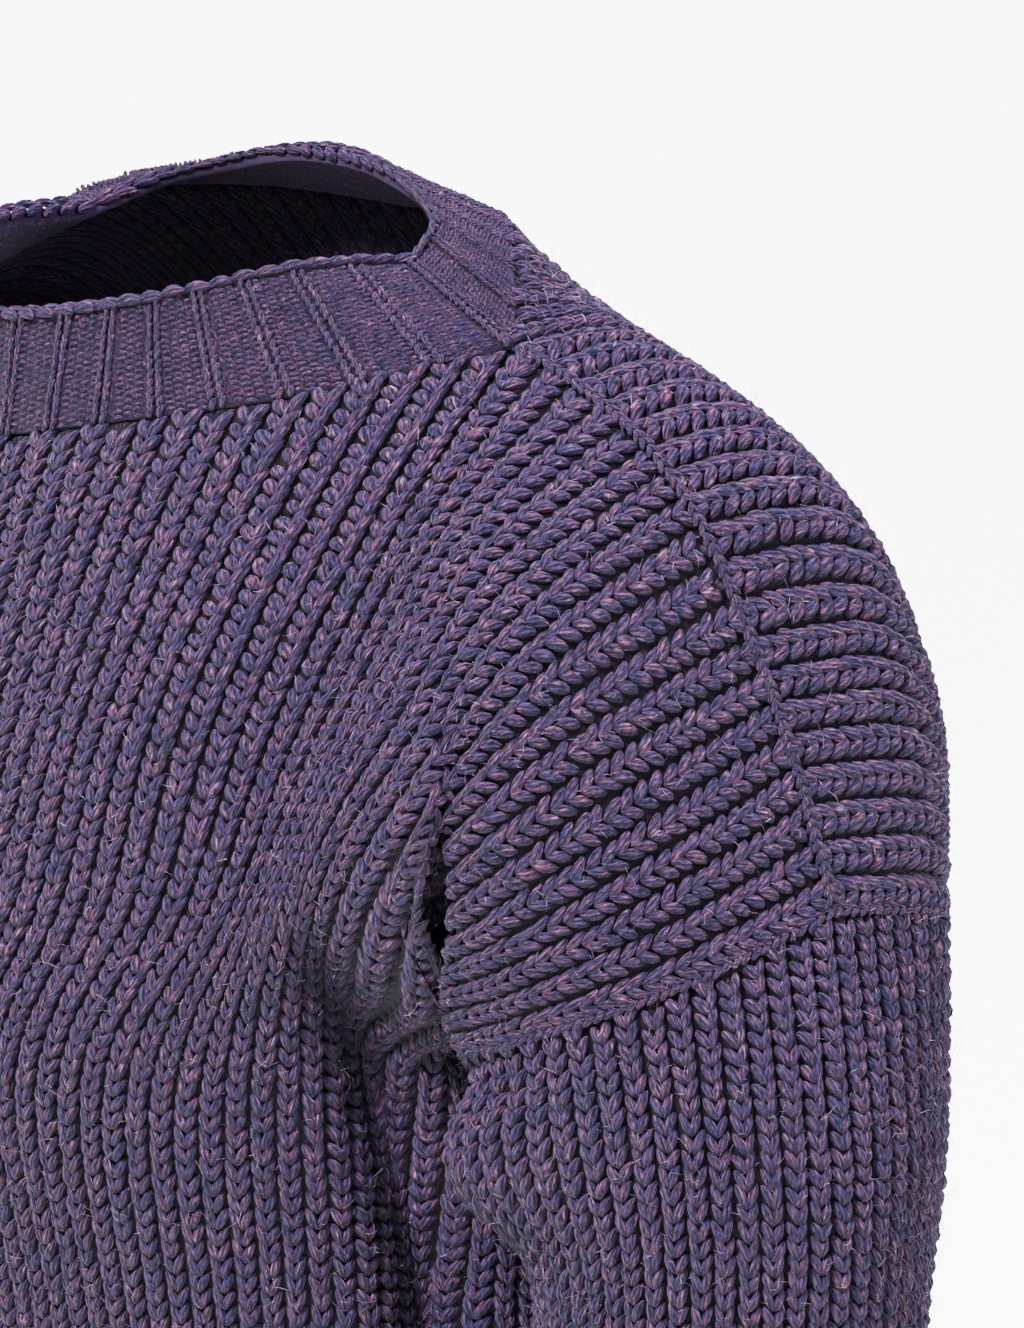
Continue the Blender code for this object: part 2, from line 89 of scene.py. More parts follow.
class Course(NamedTuple):
    """Where one rib passes on the upper body."""

    rib: int
    edge: tuple[float, float, float]
    shoulder: tuple[float, float, float]
    chest: tuple[float, float, float]
    armpit: tuple[float, float, float]


class Ring(NamedTuple):
    """A level ring of the body below the arms."""

    z: float
    half: float
    front: float
    back: float
    side: float


class Fold(NamedTuple):
    """A soft fold: ribs that its crest passes, where it runs, half width in ribs, height and lean."""

    front: bool
    ribs: tuple[float, float, float]
    start: float
    end: float
    width: float
    height: float
    lean: float


class Rim(NamedTuple):
    """A point of the neckband's rim over a rib of the body."""

    rib: float
    point: tuple[float, float, float]


class Cuffward(NamedTuple):
    """A ring of the sleeve at a share of its length."""

    share: float
    z: float
    x: float
    y: float
    half: float
    deep: float
    rise: float


# Where ribs pass on the wearer's left, from the middle to the side seam
FRONT_COURSES = (
    Course(0, (0.0, -8.4, -4.5), (0.0, -9.7, -8.0), (0.0, -11.0, -12.0), (0.0, -12.1, -15.8)),
    Course(6, (5.2, -7.5, -3.7), (5.2, -8.9, -7.2), (5.0, -10.3, -11.4), (4.7, -11.4, -15.5)),
    Course(12, (9.6, -4.4, -2.7), (9.3, -6.6, -6.4), (8.9, -8.7, -10.8), (8.5, -9.8, -15.2)),
    Course(17, (12.0, 0.0, -1.6), (12.5, -3.3, -5.0), (11.8, -6.1, -10.2), (11.3, -7.9, -14.8)),
    Course(22, (16.6, 0.6, -3.6), (16.0, -3.2, -6.0), (14.9, -5.6, -10.0), (13.2, -7.2, -14.4)),
    Course(25, (18.4, 0.9, -5.3), (17.9, -3.2, -7.4), (16.3, -5.5, -10.8), (13.8, -6.3, -14.8)),
    Course(28, (19.6, 1.5, -7.9), (19.0, -3.0, -9.8), (17.0, -5.4, -12.4), (14.1, -5.2, -15.4)),
    Course(32, (20.8, 2.0, -11.0), (20.4, -2.0, -12.8), (17.8, -4.7, -15.0), (14.4, -4.3, -16.8)),
    Course(36, (22.0, 2.3, -14.4), (21.3, -1.4, -15.8), (18.2, -4.1, -17.4), (14.9, -3.4, -18.4)),
)
BACK_COURSES = (
    Course(0, (0.0, 5.0, 0.6), (0.0, 7.2, -3.2), (0.0, 9.0, -8.0), (0.0, 10.2, -13.2)),
    Course(6, (5.8, 3.9, 0.7), (5.7, 6.6, -2.7), (5.5, 8.9, -7.7), (5.1, 10.2, -13.0)),
    Course(12, (9.8, 1.5, 0.2), (10.0, 4.6, -1.7), (9.6, 8.2, -6.8), (8.9, 9.9, -12.6)),
    Course(17, (12.0, 0.0, -1.6), (12.5, 3.2, -1.5), (12.3, 7.4, -5.6), (11.5, 9.7, -12.0)),
    Course(22, (16.6, 0.6, -3.6), (16.8, 4.0, -3.4), (15.9, 7.9, -7.4), (13.5, 9.3, -13.0)),
    Course(25, (18.4, 0.9, -5.3), (18.8, 4.7, -5.2), (17.4, 8.0, -9.4), (14.2, 8.7, -14.2)),
    Course(28, (19.6, 1.5, -7.9), (19.8, 5.3, -7.9), (18.3, 8.2, -11.5), (14.6, 7.8, -15.5)),
    Course(32, (20.8, 2.0, -11.0), (20.8, 5.6, -11.2), (18.5, 8.0, -13.9), (14.9, 6.5, -16.8)),
    Course(36, (22.0, 2.3, -14.4), (21.3, 5.9, -14.9), (18.3, 7.5, -16.3), (15.1, 5.4, -18.0)),
)

# Rings of the body, and how far down each row lies as a share of a rib's length
BODY_RINGS = (
    Ring(-19.5, 14.0, 12.5, 10.6, 1.2),
    Ring(-27.0, 14.1, 10.9, 10.4, 1.0),
    Ring(-38.0, 14.4, 10.2, 10.0, 0.8),
    Ring(-50.0, 15.8, 10.9, 11.0, 0.6),
    Ring(-59.0, 16.6, 11.4, 11.6, 0.5),
)
RING_POWER = 2.3                    # 2 is an ellipse, more is squarer
UNDERARM = (14.5, 1.1, -18.9)       # where side seam, front, back and sleeve meet
DROP = (0.0, 0.10, 0.24, 0.38, 0.50, 0.63, 0.76, 0.89, 1.0)  # share of the way down, edge to hem
AT_UNDERARM = 4                     # place of the top body ring in DROP

# The armpit's folds, and the way that they lean: out to the side and to the back
FOLD_WAY = (0.57, 0.82, 0.0)
FOLDS = (
    Fold(True, (20.0, 26.3, 27.6), 0.15, 0.50, 2.3, 1.25, 1.20),
    Fold(True, (22.5, 31.2, 29.0), 0.20, 0.50, 1.3, -2.00, 0.0),
    Fold(True, (22.8, 26.6, 29.5), 0.38, 0.66, 1.8, -1.80, 0.0),
    Fold(False, (20.0, 22.0, 24.0), 0.16, 0.55, 2.6, 0.80, 0.2),
    Fold(False, (24.5, 26.8, 29.0), 0.22, 0.52, 2.2, -0.90, 0.0),
)

# The neckband's rim
FRONT_RIM = (
    Rim(0, (0.0, -8.0, -1.5)),
    Rim(5, (3.7, -6.9, -1.05)),
    Rim(9.5, (5.7, -5.2, -0.5)),
    Rim(13.5, (7.0, -3.0, 0.0)),
    Rim(17, (7.5, 0.0, 0.0)),
)
BACK_RIM = (
    Rim(0, (0.0, 2.7, 1.9)),
    Rim(6, (2.8, 2.5, 1.7)),
    Rim(10, (4.8, 2.1, 1.25)),
    Rim(14, (6.6, 1.3, 0.7)),
    Rim(17, (7.5, 0.0, 0.0)),
)

# The left sleeve below its armhole
SLEEVE_RINGS = (
    Cuffward(0.10, -20.6, 19.2, 1.6, 4.55, 5.2, 0.9),
    Cuffward(0.22, -24.5, 19.4, 1.3, 4.6, 4.7, 0.1),
    Cuffward(0.37, -31.0, 19.5, 0.9, 4.5, 4.5, 0.0),
    Cuffward(0.58, -40.0, 20.0, 0.0, 4.1, 4.2, 0.0),
    Cuffward(0.82, -50.0, 20.9, -1.8, 3.6, 3.7, 0.0),
    Cuffward(1.00, -57.5, 21.5, -3.6, 3.3, 3.4, 0.0),
)
# The slack of the sleeve bulges out below the underarm, to the inner front.
POUCH_ROUND = 0.345       # share of the way round, from the outer side through the front
POUCH_ALONG = 0.095       # share of the sleeve's length
POUCH_SPREAD = (0.10, 0.065)
POUCH_START = 0.06
POUCH_REACH = 2.0         # centimetres
POUCH_WAY = (-0.45, -0.85, -0.10)


Array = np.ndarray
Place = Callable[[Array, Array], Array]
RIB_STEP = 0.1         # in ribs, for directions on a form
ROW_STEP = 0.002       # in shares of the way down


def smooth(x: Array) -> Array:
    """A soft step.

    Args:
        x: Any values.
    Returns:
        0 up to 0, 1 from 1, and a smooth rise between.
    """
    x = np.clip(x, 0.0, 1.0)
    return x * x * (3.0 - 2.0 * x)


def unit(v: Array) -> Array:
    """Brings vectors to length 1.

    Args:
        v: Vectors in the last axis.
    Returns:
        The same directions.
    """
    return v / (np.linalg.norm(v, axis=-1, keepdims=True) + 1e-12)


def length_so_far(line: Array) -> Array:
    """Distances along a line of points.

    Args:
        line: The points.
    Returns:
        Each point's distance from the first.
    """
    return np.concatenate([[0.0], np.cumsum(np.linalg.norm(np.diff(line, axis=0), axis=-1))])


def resample(values: Array, places: Array, at: Array) -> Array:
    """Reads vectors between their places.

    Args:
        values: Vectors, one for each place.
        places: Rising numbers.
        at: Where to read.
    Returns:
        A vector for each of these.
    """
    return np.stack([np.interp(at, places, values[:, i]) for i in range(values.shape[1])], -1)


def curve(knots: Sequence[float], values: Sequence, x: Array, turn: tuple | None = None) -> Array:
    """A smooth curve through values at uneven knots.

    Args:
        knots: Where the values lie.
        values: One value or array for each knot.
        x: Where the curve is wanted.
        turn: A knot's place, and how far the curve there takes the direction of the next stretch.
    Returns:
        The curve's values at x.
    """
    knots, values, x = (np.asarray(a, float) for a in (knots, values, x))
    extra = (1,) * (values.ndim - 1)
    span = np.diff(knots).reshape((-1,) + extra)
    rise = np.diff(values, axis=0) / span
    slope = np.empty_like(values)
    slope[1:-1] = (rise[:-1] * span[1:] + rise[1:] * span[:-1]) / (span[:-1] + span[1:])
    slope[0] = 1.5 * rise[0] - 0.5 * slope[1]
    slope[-1] = 1.5 * rise[-1] - 0.5 * slope[-2]
    if turn is not None:
        k, share = turn
        onward = 1.5 * rise[k] - 0.5 * slope[k + 1]
        slope[k] = slope[k] * (1.0 - share[:, None]) + onward * share[:, None]
    i = np.clip(np.searchsorted(knots, x, side="right") - 1, 0, len(knots) - 2)
    width = (knots[i + 1] - knots[i]).reshape(x.shape + extra)
    t = (x - knots[i]).reshape(x.shape + extra) / width
    t2, t3 = t * t, t * t * t
    return ((2 * t3 - 3 * t2 + 1) * values[i] + (t3 - 2 * t2 + t) * width * slope[i]
            + (3 * t2 - 2 * t3) * values[i + 1] + (t3 - t2) * width * slope[i + 1])


def through(rows: Iterable[tuple], ribs: Array) -> Array:
    """The smooth curve through rows that is level at the middle of the body.

    Args:
        rows: Pairs of a rib and its points, from the middle outwards.
        ribs: The ribs wanted.
    Returns:
        Points for each rib.
    """
    rows = [(r, np.asarray(p, float)) for r, p in rows]
    rows.insert(0, (-rows[1][0], rows[1][1] * (-1.0, 1.0, 1.0)))
    return curve([r for r, _ in rows], [p for _, p in rows], ribs)


def edge_line(ribs: Array, front: bool) -> Array:
    """The upper edge of a body piece: neckline, then shoulder seam.

    Args:
        ribs: Ribs from the middle, 0 or more.
        front: The front piece, or else the back.
    Returns:
        A point for each rib.
    """
    courses = FRONT_COURSES if front else BACK_COURSES
    neckline = through([(c.rib, c.edge) for c in courses if c.rib <= NECK_RIBS],
                       np.minimum(ribs, NECK_RIBS))
    seam = [c for c in FRONT_COURSES if c.rib >= NECK_RIBS]
    shoulder = curve([c.rib for c in seam], [c.edge for c in seam], np.maximum(ribs, NECK_RIBS))
    return np.where((ribs > NECK_RIBS)[:, None], shoulder, neckline)


def ring_line(ring: Ring, share: Array, front: bool) -> Array:
    """Part of a body ring.

    Args:
        ring: The ring.
        share: Shares of its length from the middle to the side seam.
        front: The front half, or else the back.
    Returns:
        A point for each share.
    """
    depth = ring.front + ring.side if front else ring.back - ring.side
    angle = np.linspace(0.0, math.pi / 2, 200)
    x = ring.half * np.sin(angle) ** (2 / RING_POWER)
    y = depth * np.cos(angle) ** (2 / RING_POWER)
    run = np.concatenate([[0.0], np.cumsum(np.hypot(np.diff(x), np.diff(y)))])
    run /= run[-1]
    out = -1.0 if front else 1.0
    return np.stack([np.interp(share, run, x), ring.side + out * np.interp(share, run, y),
                     np.full_like(share, ring.z)], -1)


def unfolded(ribs: Array, times: Array, front: bool) -> Array:
    """The worn body piece without its folds.

    Args:
        ribs: Ribs from the middle, 0 or more.
        times: Shares of the way down a rib.
        front: The front piece, or else the back.
    Returns:
        Points, ribs by times.
    """
    courses = FRONT_COURSES if front else BACK_COURSES
    top = through([(c.rib, np.array(c[1:])) for c in courses], ribs)
    top[:, 0] = edge_line(ribs, front)
    low = np.stack([ring_line(ring, ribs / BODY_RIBS, front) for ring in BODY_RINGS], 1)
    outer = np.clip((ribs - 29.0) / 7.0, 0.0, 1.0)
    corner = ring_line(BODY_RINGS[0], np.ones(1), front)[0]
    low[:, 0] += (outer ** 2)[:, None] * (np.array(UNDERARM) - corner)
    points = np.swapaxes(np.concatenate([top, low], 1), 0, 1)
    return np.swapaxes(curve(DROP, points, times, (AT_UNDERARM, smooth(outer))), 0, 1)


def normals(surface: Place, ribs: Array, times: Array) -> Array:
    """Normals of a body piece, by small steps.

    Args:
        surface: Gives points for ribs and times.
        ribs: Ribs from the middle.
        times: Shares of the way down.
    Returns:
        Unit normals, outward on the front and inward on the back.
    """
    r0, r1 = np.maximum(ribs - 0.02, 0.0), np.minimum(ribs + 0.02, BODY_RIBS)
    t0, t1 = np.maximum(times - 0.001, 0.0), np.minimum(times + 0.001, 1.0)
    across = surface(r1, times) - surface(r0, times)
    down = surface(ribs, t1) - surface(ribs, t0)
    return unit(np.cross(down, across))


def body_half(ribs: Array, times: Array, front: bool) -> Array:
    """The worn body piece with its folds, on the wearer's left.

    Args:
        ribs: Ribs from the middle, 0 or more.
        times: Shares of the way down a rib.
        front: The front piece, or else the back.
    Returns:
        Points, ribs by times.
    """
    ribs, times = np.asarray(ribs, float), np.asarray(times, float)
    points = unfolded(ribs, times, front)
    out = normals(lambda r, t: unfolded(r, t, front), ribs, times) * (1.0 if front else -1.0)
    for fold in (f for f in FOLDS if f.front == front):
        along = np.clip((times - fold.start) / (fold.end - fold.start), 0.0, 1.0)
        first, middle, last = fold.ribs
        crest = (first * (1.0 - along) * (1.0 - 2.0 * along)
                 + 4.0 * middle * along * (1.0 - along) + last * along * (2.0 * along - 1.0))
        strength = smooth(along / 0.4) * smooth((1.0 - along) / 0.18)
        bell = np.exp(-(((ribs[:, None] - crest[None, :]) / fold.width) ** 2)) * strength
        way = out * fold.height + np.array(FOLD_WAY) * fold.lean
        points = points + way * bell[..., None]
    return points


def armhole(shares: Array) -> Array:
    """The armhole ring on the body.

    Args:
        shares: Shares of the way round, from the outer top by way of the front.
    Returns:
        A point for each share.
    """
    points = np.empty((len(shares), 3))
    times = np.linspace(0.0, DROP[AT_UNDERARM], 120)
    for front in (True, False):
        line = body_half([float(BODY_RIBS)], times, front)[0]
        run = length_so_far(line)
        mine = shares <= 0.5 if front else shares > 0.5
        half = 2 * shares[mine] if front else 2 * (1.0 - shares[mine])
        at = np.interp(half, run / run[-1], times)
        points[mine] = body_half([float(BODY_RIBS)], at, front)[0]
    return points


def sleeve_tube(shares: Array, times: Array) -> Array:
    """The left sleeve.

    Args:
        shares: Shares of the way round, any number of turns.
        times: Shares of the way from armhole to cuff.
    Returns:
        Points, shares by times.
    """
    shares, times = np.asarray(shares, float), np.asarray(times, float)
    angle = shares * 2 * math.pi
    rings = [armhole(shares % 1.0)]
    for r in SLEEVE_RINGS:
        rings.append(np.stack([r.x + r.half * np.cos(angle), r.y - r.deep * np.sin(angle),
                               r.z + r.rise * np.cos(angle)], -1))
    tube = np.swapaxes(curve([0.0] + [r.share for r in SLEEVE_RINGS], np.stack(rings), times), 0, 1)
    bell = (np.exp(-(((shares % 1.0)[:, None] - POUCH_ROUND) / POUCH_SPREAD[0]) ** 2)
            * np.exp(-(((times[None, :] - POUCH_ALONG) / POUCH_SPREAD[1]) ** 2))
            * smooth(times[None, :] / POUCH_START))
    return tube + POUCH_REACH * bell[..., None] * np.array(POUCH_WAY)


def band_half(ribs: Array, heights: Array, front: bool) -> Array:
    """The neckband on the wearer's left.

    Args:
        ribs: Ribs of the body that it stands over, up to NECK_RIBS.
        heights: Shares of the way from the body to the rim.
        front: The front half, or else the back.
    Returns:
        Points, ribs by heights.
    """
    ribs = np.asarray(ribs, float)
    rim = through([(r.rib, r.point) for r in (FRONT_RIM if front else BACK_RIM)], ribs)
    h = np.asarray(heights, float)[None, :, None]
    return edge_line(ribs, front)[:, None] * (1.0 - h) + rim[:, None] * h


@dataclass(frozen=True)
class Surface:
    """A form that cloth and stitches lie on.

    Columns are ribs, signed from the middle on the body and the band and counted round on a sleeve.
    Rows are shares of the way down.
    """

    place: Place
    outward: float

    def frames(self, columns: Array, rows: Array) -> tuple[Array, Array, Array, Array]:
        """Points with their directions.

        Args:
            columns: Ribs.
            rows: Shares of the way down.
        Returns:
            Points, vectors one rib across, unit vectors up the rib and unit outward normals.
        """
        columns, rows = np.asarray(columns, float), np.asarray(rows, float)
        t0, t1 = np.maximum(rows - ROW_STEP, 0.0), np.minimum(rows + ROW_STEP, 1.0)
        across = self.place(columns + RIB_STEP, rows) - self.place(columns - RIB_STEP, rows)
        across /= 2 * RIB_STEP
        up = unit(self.place(columns, t0) - self.place(columns, t1))
        out = unit(np.cross(across, up)) * self.outward
        return self.place(columns, rows), across, up, out


def signed(half: Callable[[Array, Array], Array]) -> Place:
    """A whole form from its left half.

    Args:
        half: Gives points for ribs of 0 or more.
    Returns:
        A place that takes ribs on both sides of the middle.
    """
    def whole(columns: Array, rows: Array) -> Array:
        """Points for ribs on either side of the middle."""
        points = half(np.abs(columns), rows)
        points[columns < 0, :, 0] *= -1.0
        return points
    return whole


FRONT = Surface(signed(lambda r, t: body_half(r, t, True)), 1.0)
BACK = Surface(signed(lambda r, t: body_half(r, t, False)), -1.0)
BAND_FRONT = Surface(signed(lambda r, t: band_half(r, 1.0 - t, True)), 1.0)
BAND_BACK = Surface(signed(lambda r, t: band_half(r, 1.0 - t, False)), -1.0)
SLEEVE = Surface(lambda c, t: sleeve_tube(c / SLEEVE_RIBS, t), -1.0)
SLEEVE_RIGHT = Surface(lambda c, t: sleeve_tube(-c / SLEEVE_RIBS, t) * (-1.0, 1.0, 1.0), -1.0)


@dataclass
class Strand:
    """A short plump length of yarn, as a template to be laid many times.

    Its points are (across, up, out) of a stitch, in centimetres.
    """

    verts: Array
    faces: Array
    uvs: Array

    @classmethod
    def make(cls, around: int, along: int, half: tuple[float, float, float], tilt: float,
             centre: tuple[float, float, float], dip: float, lean: float) -> "Strand":
        """Bends a sphere into a strand.

        Args:
            around: Sides of its section.
            along: Bands along it.
            half: Half width, half length and half thickness.
            tilt: Degrees between the strand and the rib, towards higher ribs.
            centre: Where its middle lies.
            dip: How far both ends sink.
            lean: How far the upper end sinks and the lower end rises.
        Returns:
            The template.
        """
        bm = bmesh.new()
        bmesh.ops.create_uvsphere(bm, u_segments=around, v_segments=along, radius=1.0)
        bmesh.ops.triangulate(bm, faces=bm.faces)
        ball = np.array([v.co[:] for v in bm.verts])
        faces = np.array([[v.index for v in f.verts] for f in bm.faces])
        bm.free()
        x, y, z = ball.T
        a = math.radians(tilt)
        axis = np.array([math.sin(a), math.cos(a), 0.0])
        side = np.array([math.cos(a), -math.sin(a), 0.0])
        out = np.array([0.0, 0.0, 1.0])
        verts = (np.array(centre) + np.outer(z * half[1], axis) + np.outer(x * half[0], side)
                 + np.outer(y * half[2] * np.sign(np.dot(np.cross(side, -axis), out))
                            - dip * z * z - lean * z, out))
        turn = (np.arctan2(y, x) / (2 * math.pi)) % 1.0
        u = turn[faces]
        pole = np.abs(z[faces]) > 0.999
        wrap = (np.where(pole, 0.5, u).max(1) - np.where(pole, 0.5, u).min(1)) > 0.45
        u = np.where(wrap[:, None] & (u < 0.5), u + 1.0, u)
        rest = np.where(pole, 0.0, u).sum(1) / np.maximum((~pole).sum(1), 1)
        u = np.where(pole, rest[:, None], u)
        return cls(verts, faces, np.stack([u, z[faces] * 0.5 + 0.5], -1))

    def mirrored(self) -> "Strand":
        """The other leg of the stitch.

        Returns:
            The template mirrored across the rib.
        """
        return Strand(self.verts * (-1.0, 1.0, 1.0), self.faces[:, ::-1], self.uvs[:, ::-1])


@dataclass
class Stations:
    """Places of stitches: points, one rib across, up the rib and out of the cloth."""

    points: Array
    across: Array
    up: Array
    out: Array

    @classmethod
    def join(cls, parts: Sequence["Stations"]) -> "Stations":
        """Several sets as one.

        Args:
            parts: The sets.
        Returns:
            One set.
        """
        return cls(*(np.concatenate([getattr(p, n) for p in parts])
                     for n in ("points", "across", "up", "out")))


def lay_along(surface: Surface, columns: Array, step: float, wanted: Callable[[Array, Array], Array],
              brick: bool = False) -> Stations:
    """Stations up each column at even steps, counted from its lower end.

    Args:
        surface: The form.
        columns: Ribs, one column of stitches each.
        step: Centimetres between stitches.
        wanted: Takes points and their distances from the upper end, and says which to keep.
        brick: Sets every second column half a step higher.
    Returns:
        The stations.
    """
    rows = np.linspace(0.0, 1.0, 420)
    points, across, up, out = surface.frames(columns, rows)
    sets = []
    for k in range(len(columns)):
        run = length_so_far(points[k])
        first = step * (1.0 if brick and k % 2 else 0.5)
        from_top = run[-1] - np.arange(first, run[-1], step)
        at = np.interp(from_top, run, rows)
        pick = [resample(v[k], rows, at) for v in (points, across, up, out)]
        keep = wanted(pick[0], from_top)
        sets.append(Stations(*(v[keep] for v in pick)))
    return Stations.join(sets)


def placed(name: str, data: bpy.types.ID) -> bpy.types.Object:
    """Puts a mesh, a light or a camera into the scene.

    Args:
        name: The object's name.
        data: What it holds.
    Returns:
        The object.
    """
    obj = bpy.data.objects.new(name, data)
    bpy.context.scene.collection.objects.link(obj)
    return obj


def grid_object(name: str, verts: Array, faces: Array, uvs: Array) -> bpy.types.Object:
    """A mesh object from arrays.

    Args:
        name: Its name.
        verts: Points in centimetres.
        faces: Triangles or quads.
        uvs: A pair for each corner of each face.
    Returns:
        The object, linked to the scene.
    """
    mesh = bpy.data.meshes.new(name)
    count, sides = faces.shape
    mesh.vertices.add(len(verts))
    mesh.vertices.foreach_set("co", (verts * CM).ravel())
    mesh.loops.add(count * sides)
    mesh.loops.foreach_set("vertex_index", faces.ravel().astype(np.int32))
    mesh.polygons.add(count)
    mesh.polygons.foreach_set("loop_start", np.arange(0, count * sides, sides, dtype=np.int32))
    mesh.polygons.foreach_set("use_smooth", np.ones(count, bool))
    layer = mesh.uv_layers.new(name="knit")
    layer.uv.foreach_set("vector", uvs.ravel())
    mesh.update(calc_edges=True)
    mesh.validate()
    return placed(name, mesh)


def yarn_object(name: str, stations: Stations, strands: Sequence[Strand], seed: int,
                jitter: float = 1.0, unit_pitch: float = PITCH) -> bpy.types.Object:
    """Lays strands at every station.

    Args:
        name: The object's name.
        stations: Where the stitches are.
        strands: Templates, each laid once at every station.
        seed: Of the hand's unevenness.
        jitter: How uneven the stitches are, 1 as usual.
        unit_pitch: The rib's width that the templates are drawn for.
    Returns:
        The object.
    """
    rng = np.random.default_rng(seed)
    across = unit(stations.across)
    up = unit(stations.up - across * np.sum(stations.up * across, -1, keepdims=True) * 0.5)
    out = stations.out
    left = np.sum(np.cross(across, up) * out, -1) < 0
    across[left] *= -1.0
    squeeze = np.clip(np.linalg.norm(stations.across, axis=-1) / unit_pitch, 0.55, 1.25)
    verts, faces, uvs = [], [], []
    start = 0
    for strand in strands:
        n = len(stations.points)
        size = 1.0 + jitter * rng.normal(0.0, 0.05, (n, 3))
        spin = jitter * rng.normal(0.0, 0.07, n)
        shift = jitter * rng.normal(0.0, 0.014, (n, 3))
        a = strand.verts[None, :, 0] * size[:, :1]
        v = strand.verts[None, :, 1] * size[:, 1:2]
        a, v = a * np.cos(spin)[:, None] - v * np.sin(spin)[:, None], (
            a * np.sin(spin)[:, None] + v * np.cos(spin)[:, None])
        a = a * squeeze[:, None] + shift[:, :1]
        v = v + shift[:, 1:2]
        h = strand.verts[None, :, 2] * size[:, 2:] + shift[:, 2:]
        verts.append((stations.points[:, None] + a[..., None] * across[:, None]
                      + v[..., None] * up[:, None] + h[..., None] * out[:, None]).reshape(-1, 3))
        k = len(strand.verts)
        faces.append((strand.faces[None] + (start + k * np.arange(n))[:, None, None]).reshape(-1, 3))
        start += k * n
        offset = np.stack([rng.integers(0, 40, n) * 1.0, rng.uniform(0.0, 60.0, n)], -1)
        uvs.append((strand.uvs[None] + offset[:, None, None]).reshape(-1, 2))
    return grid_object(name, np.concatenate(verts), np.concatenate(faces), np.concatenate(uvs))


def cloth_object(name: str, outer: Array, inner: Array, stops: Sequence[int], closed: bool,
                 columns: Array, courses: Array, near: Array) -> bpy.types.Object:
    """A sheet of cloth: a ribbed outside over a plain inside with fewer columns.

    Args:
        name: The object's name.
        outer: Outer points, columns by rows.
        inner: Inner points, fewer columns by the same rows.
        stops: The outer column that each inner one lies behind.
        closed: A tube, or else a flat piece with two side edges.
        columns: Rib number of each outer column.
        courses: Course number of each outer point.
        near: How far the yarn itself covers each outer point; kept as the covered attribute, which paints
            shade on the cloth under the yarn.
    Returns:
        The object, with rib and course numbers as its UV map.
    """
    bm = bmesh.new()
    knit = bm.loops.layers.uv.new("knit")
    # The covered attribute is the mask for painted shade under the yarn.
    cover = bm.verts.layers.float.new("covered")
    outs = [[bm.verts.new(p * CM) for p in column] for column in outer]
    ins = [[bm.verts.new(p * CM) for p in column] for column in inner]
    rows, count = outer.shape[1], len(outs)
    for i, column in enumerate(outs):
        for j, vert in enumerate(column):
            vert[cover] = float(near[i, j])
    for i in range(count if closed else count - 1):
        k = (i + 1) % count
        right = columns[k] if k else columns[-1] + (columns[1] - columns[0])
        for j in range(rows - 1):
            face = bm.faces.new((outs[i][j], outs[k][j], outs[k][j + 1], outs[i][j + 1]))
            marks = ((columns[i], courses[i, j]), (right, courses[k, j]),
                     (right, courses[k, j + 1]), (columns[i], courses[i, j + 1]))
            for loop, mark in zip(face.loops, marks):
                loop[knit].uv = mark
    spans = len(ins) if closed else len(ins) - 1
    ends = list(stops) + ([count] if closed else [])
    for k in range(spans):
        a, b = ins[k], ins[(k + 1) % len(ins)]
        for j in range(rows - 1):
            face = bm.faces.new((a[j], a[j + 1], b[j + 1], b[j]))
            c, d = columns[ends[k]], columns[ends[k]] + (ends[k + 1] - ends[k]) * (columns[1] - columns[0])
            for loop, mark in zip(face.loops, ((c, courses[0, j]), (c, courses[0, j + 1]),
                                               (d, courses[0, j + 1]), (d, courses[0, j]))):
                loop[knit].uv = mark
        middle = (ends[k] + ends[k + 1]) // 2
        for row in (0, rows - 1):
            for c in range(ends[k], ends[k + 1]):
                side = a[row] if c < middle else b[row]
                bm.faces.new((outs[c % count][row], outs[(c + 1) % count][row], side))
            bm.faces.new((outs[middle % count][row], b[row], a[row]))
    if not closed:
        for k in (0, -1):
            for j in range(rows - 1):
                bm.faces.new((outs[k][j], outs[k][j + 1], ins[k][j + 1], ins[k][j]))
    bmesh.ops.recalc_face_normals(bm, faces=bm.faces)
    for face in bm.faces:
        face.smooth = True
    mesh = bpy.data.meshes.new(name)
    bm.to_mesh(mesh)
    bm.free()
    return placed(name, mesh)


def ribbed_cloth(name: str, surface: Surface, columns: Array, rows: Array, closed: bool,
                 covered: Callable[[Array, Array], Array], full: float, power: float
                 ) -> bpy.types.Object:
    """A sheet of cloth whose ribs stand up, and flatten where they are squeezed together.

    Args:
        name: The object's name.
        surface: Its form.
        columns: Half ribs across it.
        rows: Shares of the way down.
        closed: A tube, or else a flat piece.
        covered: Takes points and their distances from the upper end, and says how far yarn covers them,
            which sinks the cloth there and darkens it with painted shade.
        full: Width from which a rib has its full height.
        power: How fast narrower ribs flatten.
    Returns:
        The object.
    """
    places = columns if closed else np.clip(columns, columns[0] + EDGE_INSET, columns[-1] - EDGE_INSET)
    points, across, _, out = surface.frames(places, rows)
    from_top = np.stack([length_so_far(line) for line in points])
    courses = (from_top[:, -1:] - from_top) / COURSE
    near = covered(points, from_top)
    crest = np.where(columns % 1.0 == 0.5, 1.0, -1.0)[:, None]
    spread = np.clip(np.linalg.norm(across, axis=-1) / full, 0.0, 1.0) ** power
    lift = RIB_RISE * crest * spread * (1.0 - 0.5 * near) - YARN_BED * near
    stops = list(range(0, len(columns), INNER_STEP))
    inner = points[stops] - out[stops] * WALL
    return cloth_object(name, points + out * lift[..., None], inner, stops, closed, columns, courses, near)


class Wool(Enum):
    """The wool in its places on the garment."""

    YARN = "yarn"
    CLOTH = "cloth"
    BAND = "band"
    HAIR = "hair"


@dataclass(frozen=True)
class WoolFinish:
    """How a wool looks: its shades from dark to light, how they mix, and how light it is."""

    shades: tuple[tuple[float, tuple[float, float, float]], ...]
    roughness: float
    sheen: float
    streak: float
    bump: float
    level: float = 1.0


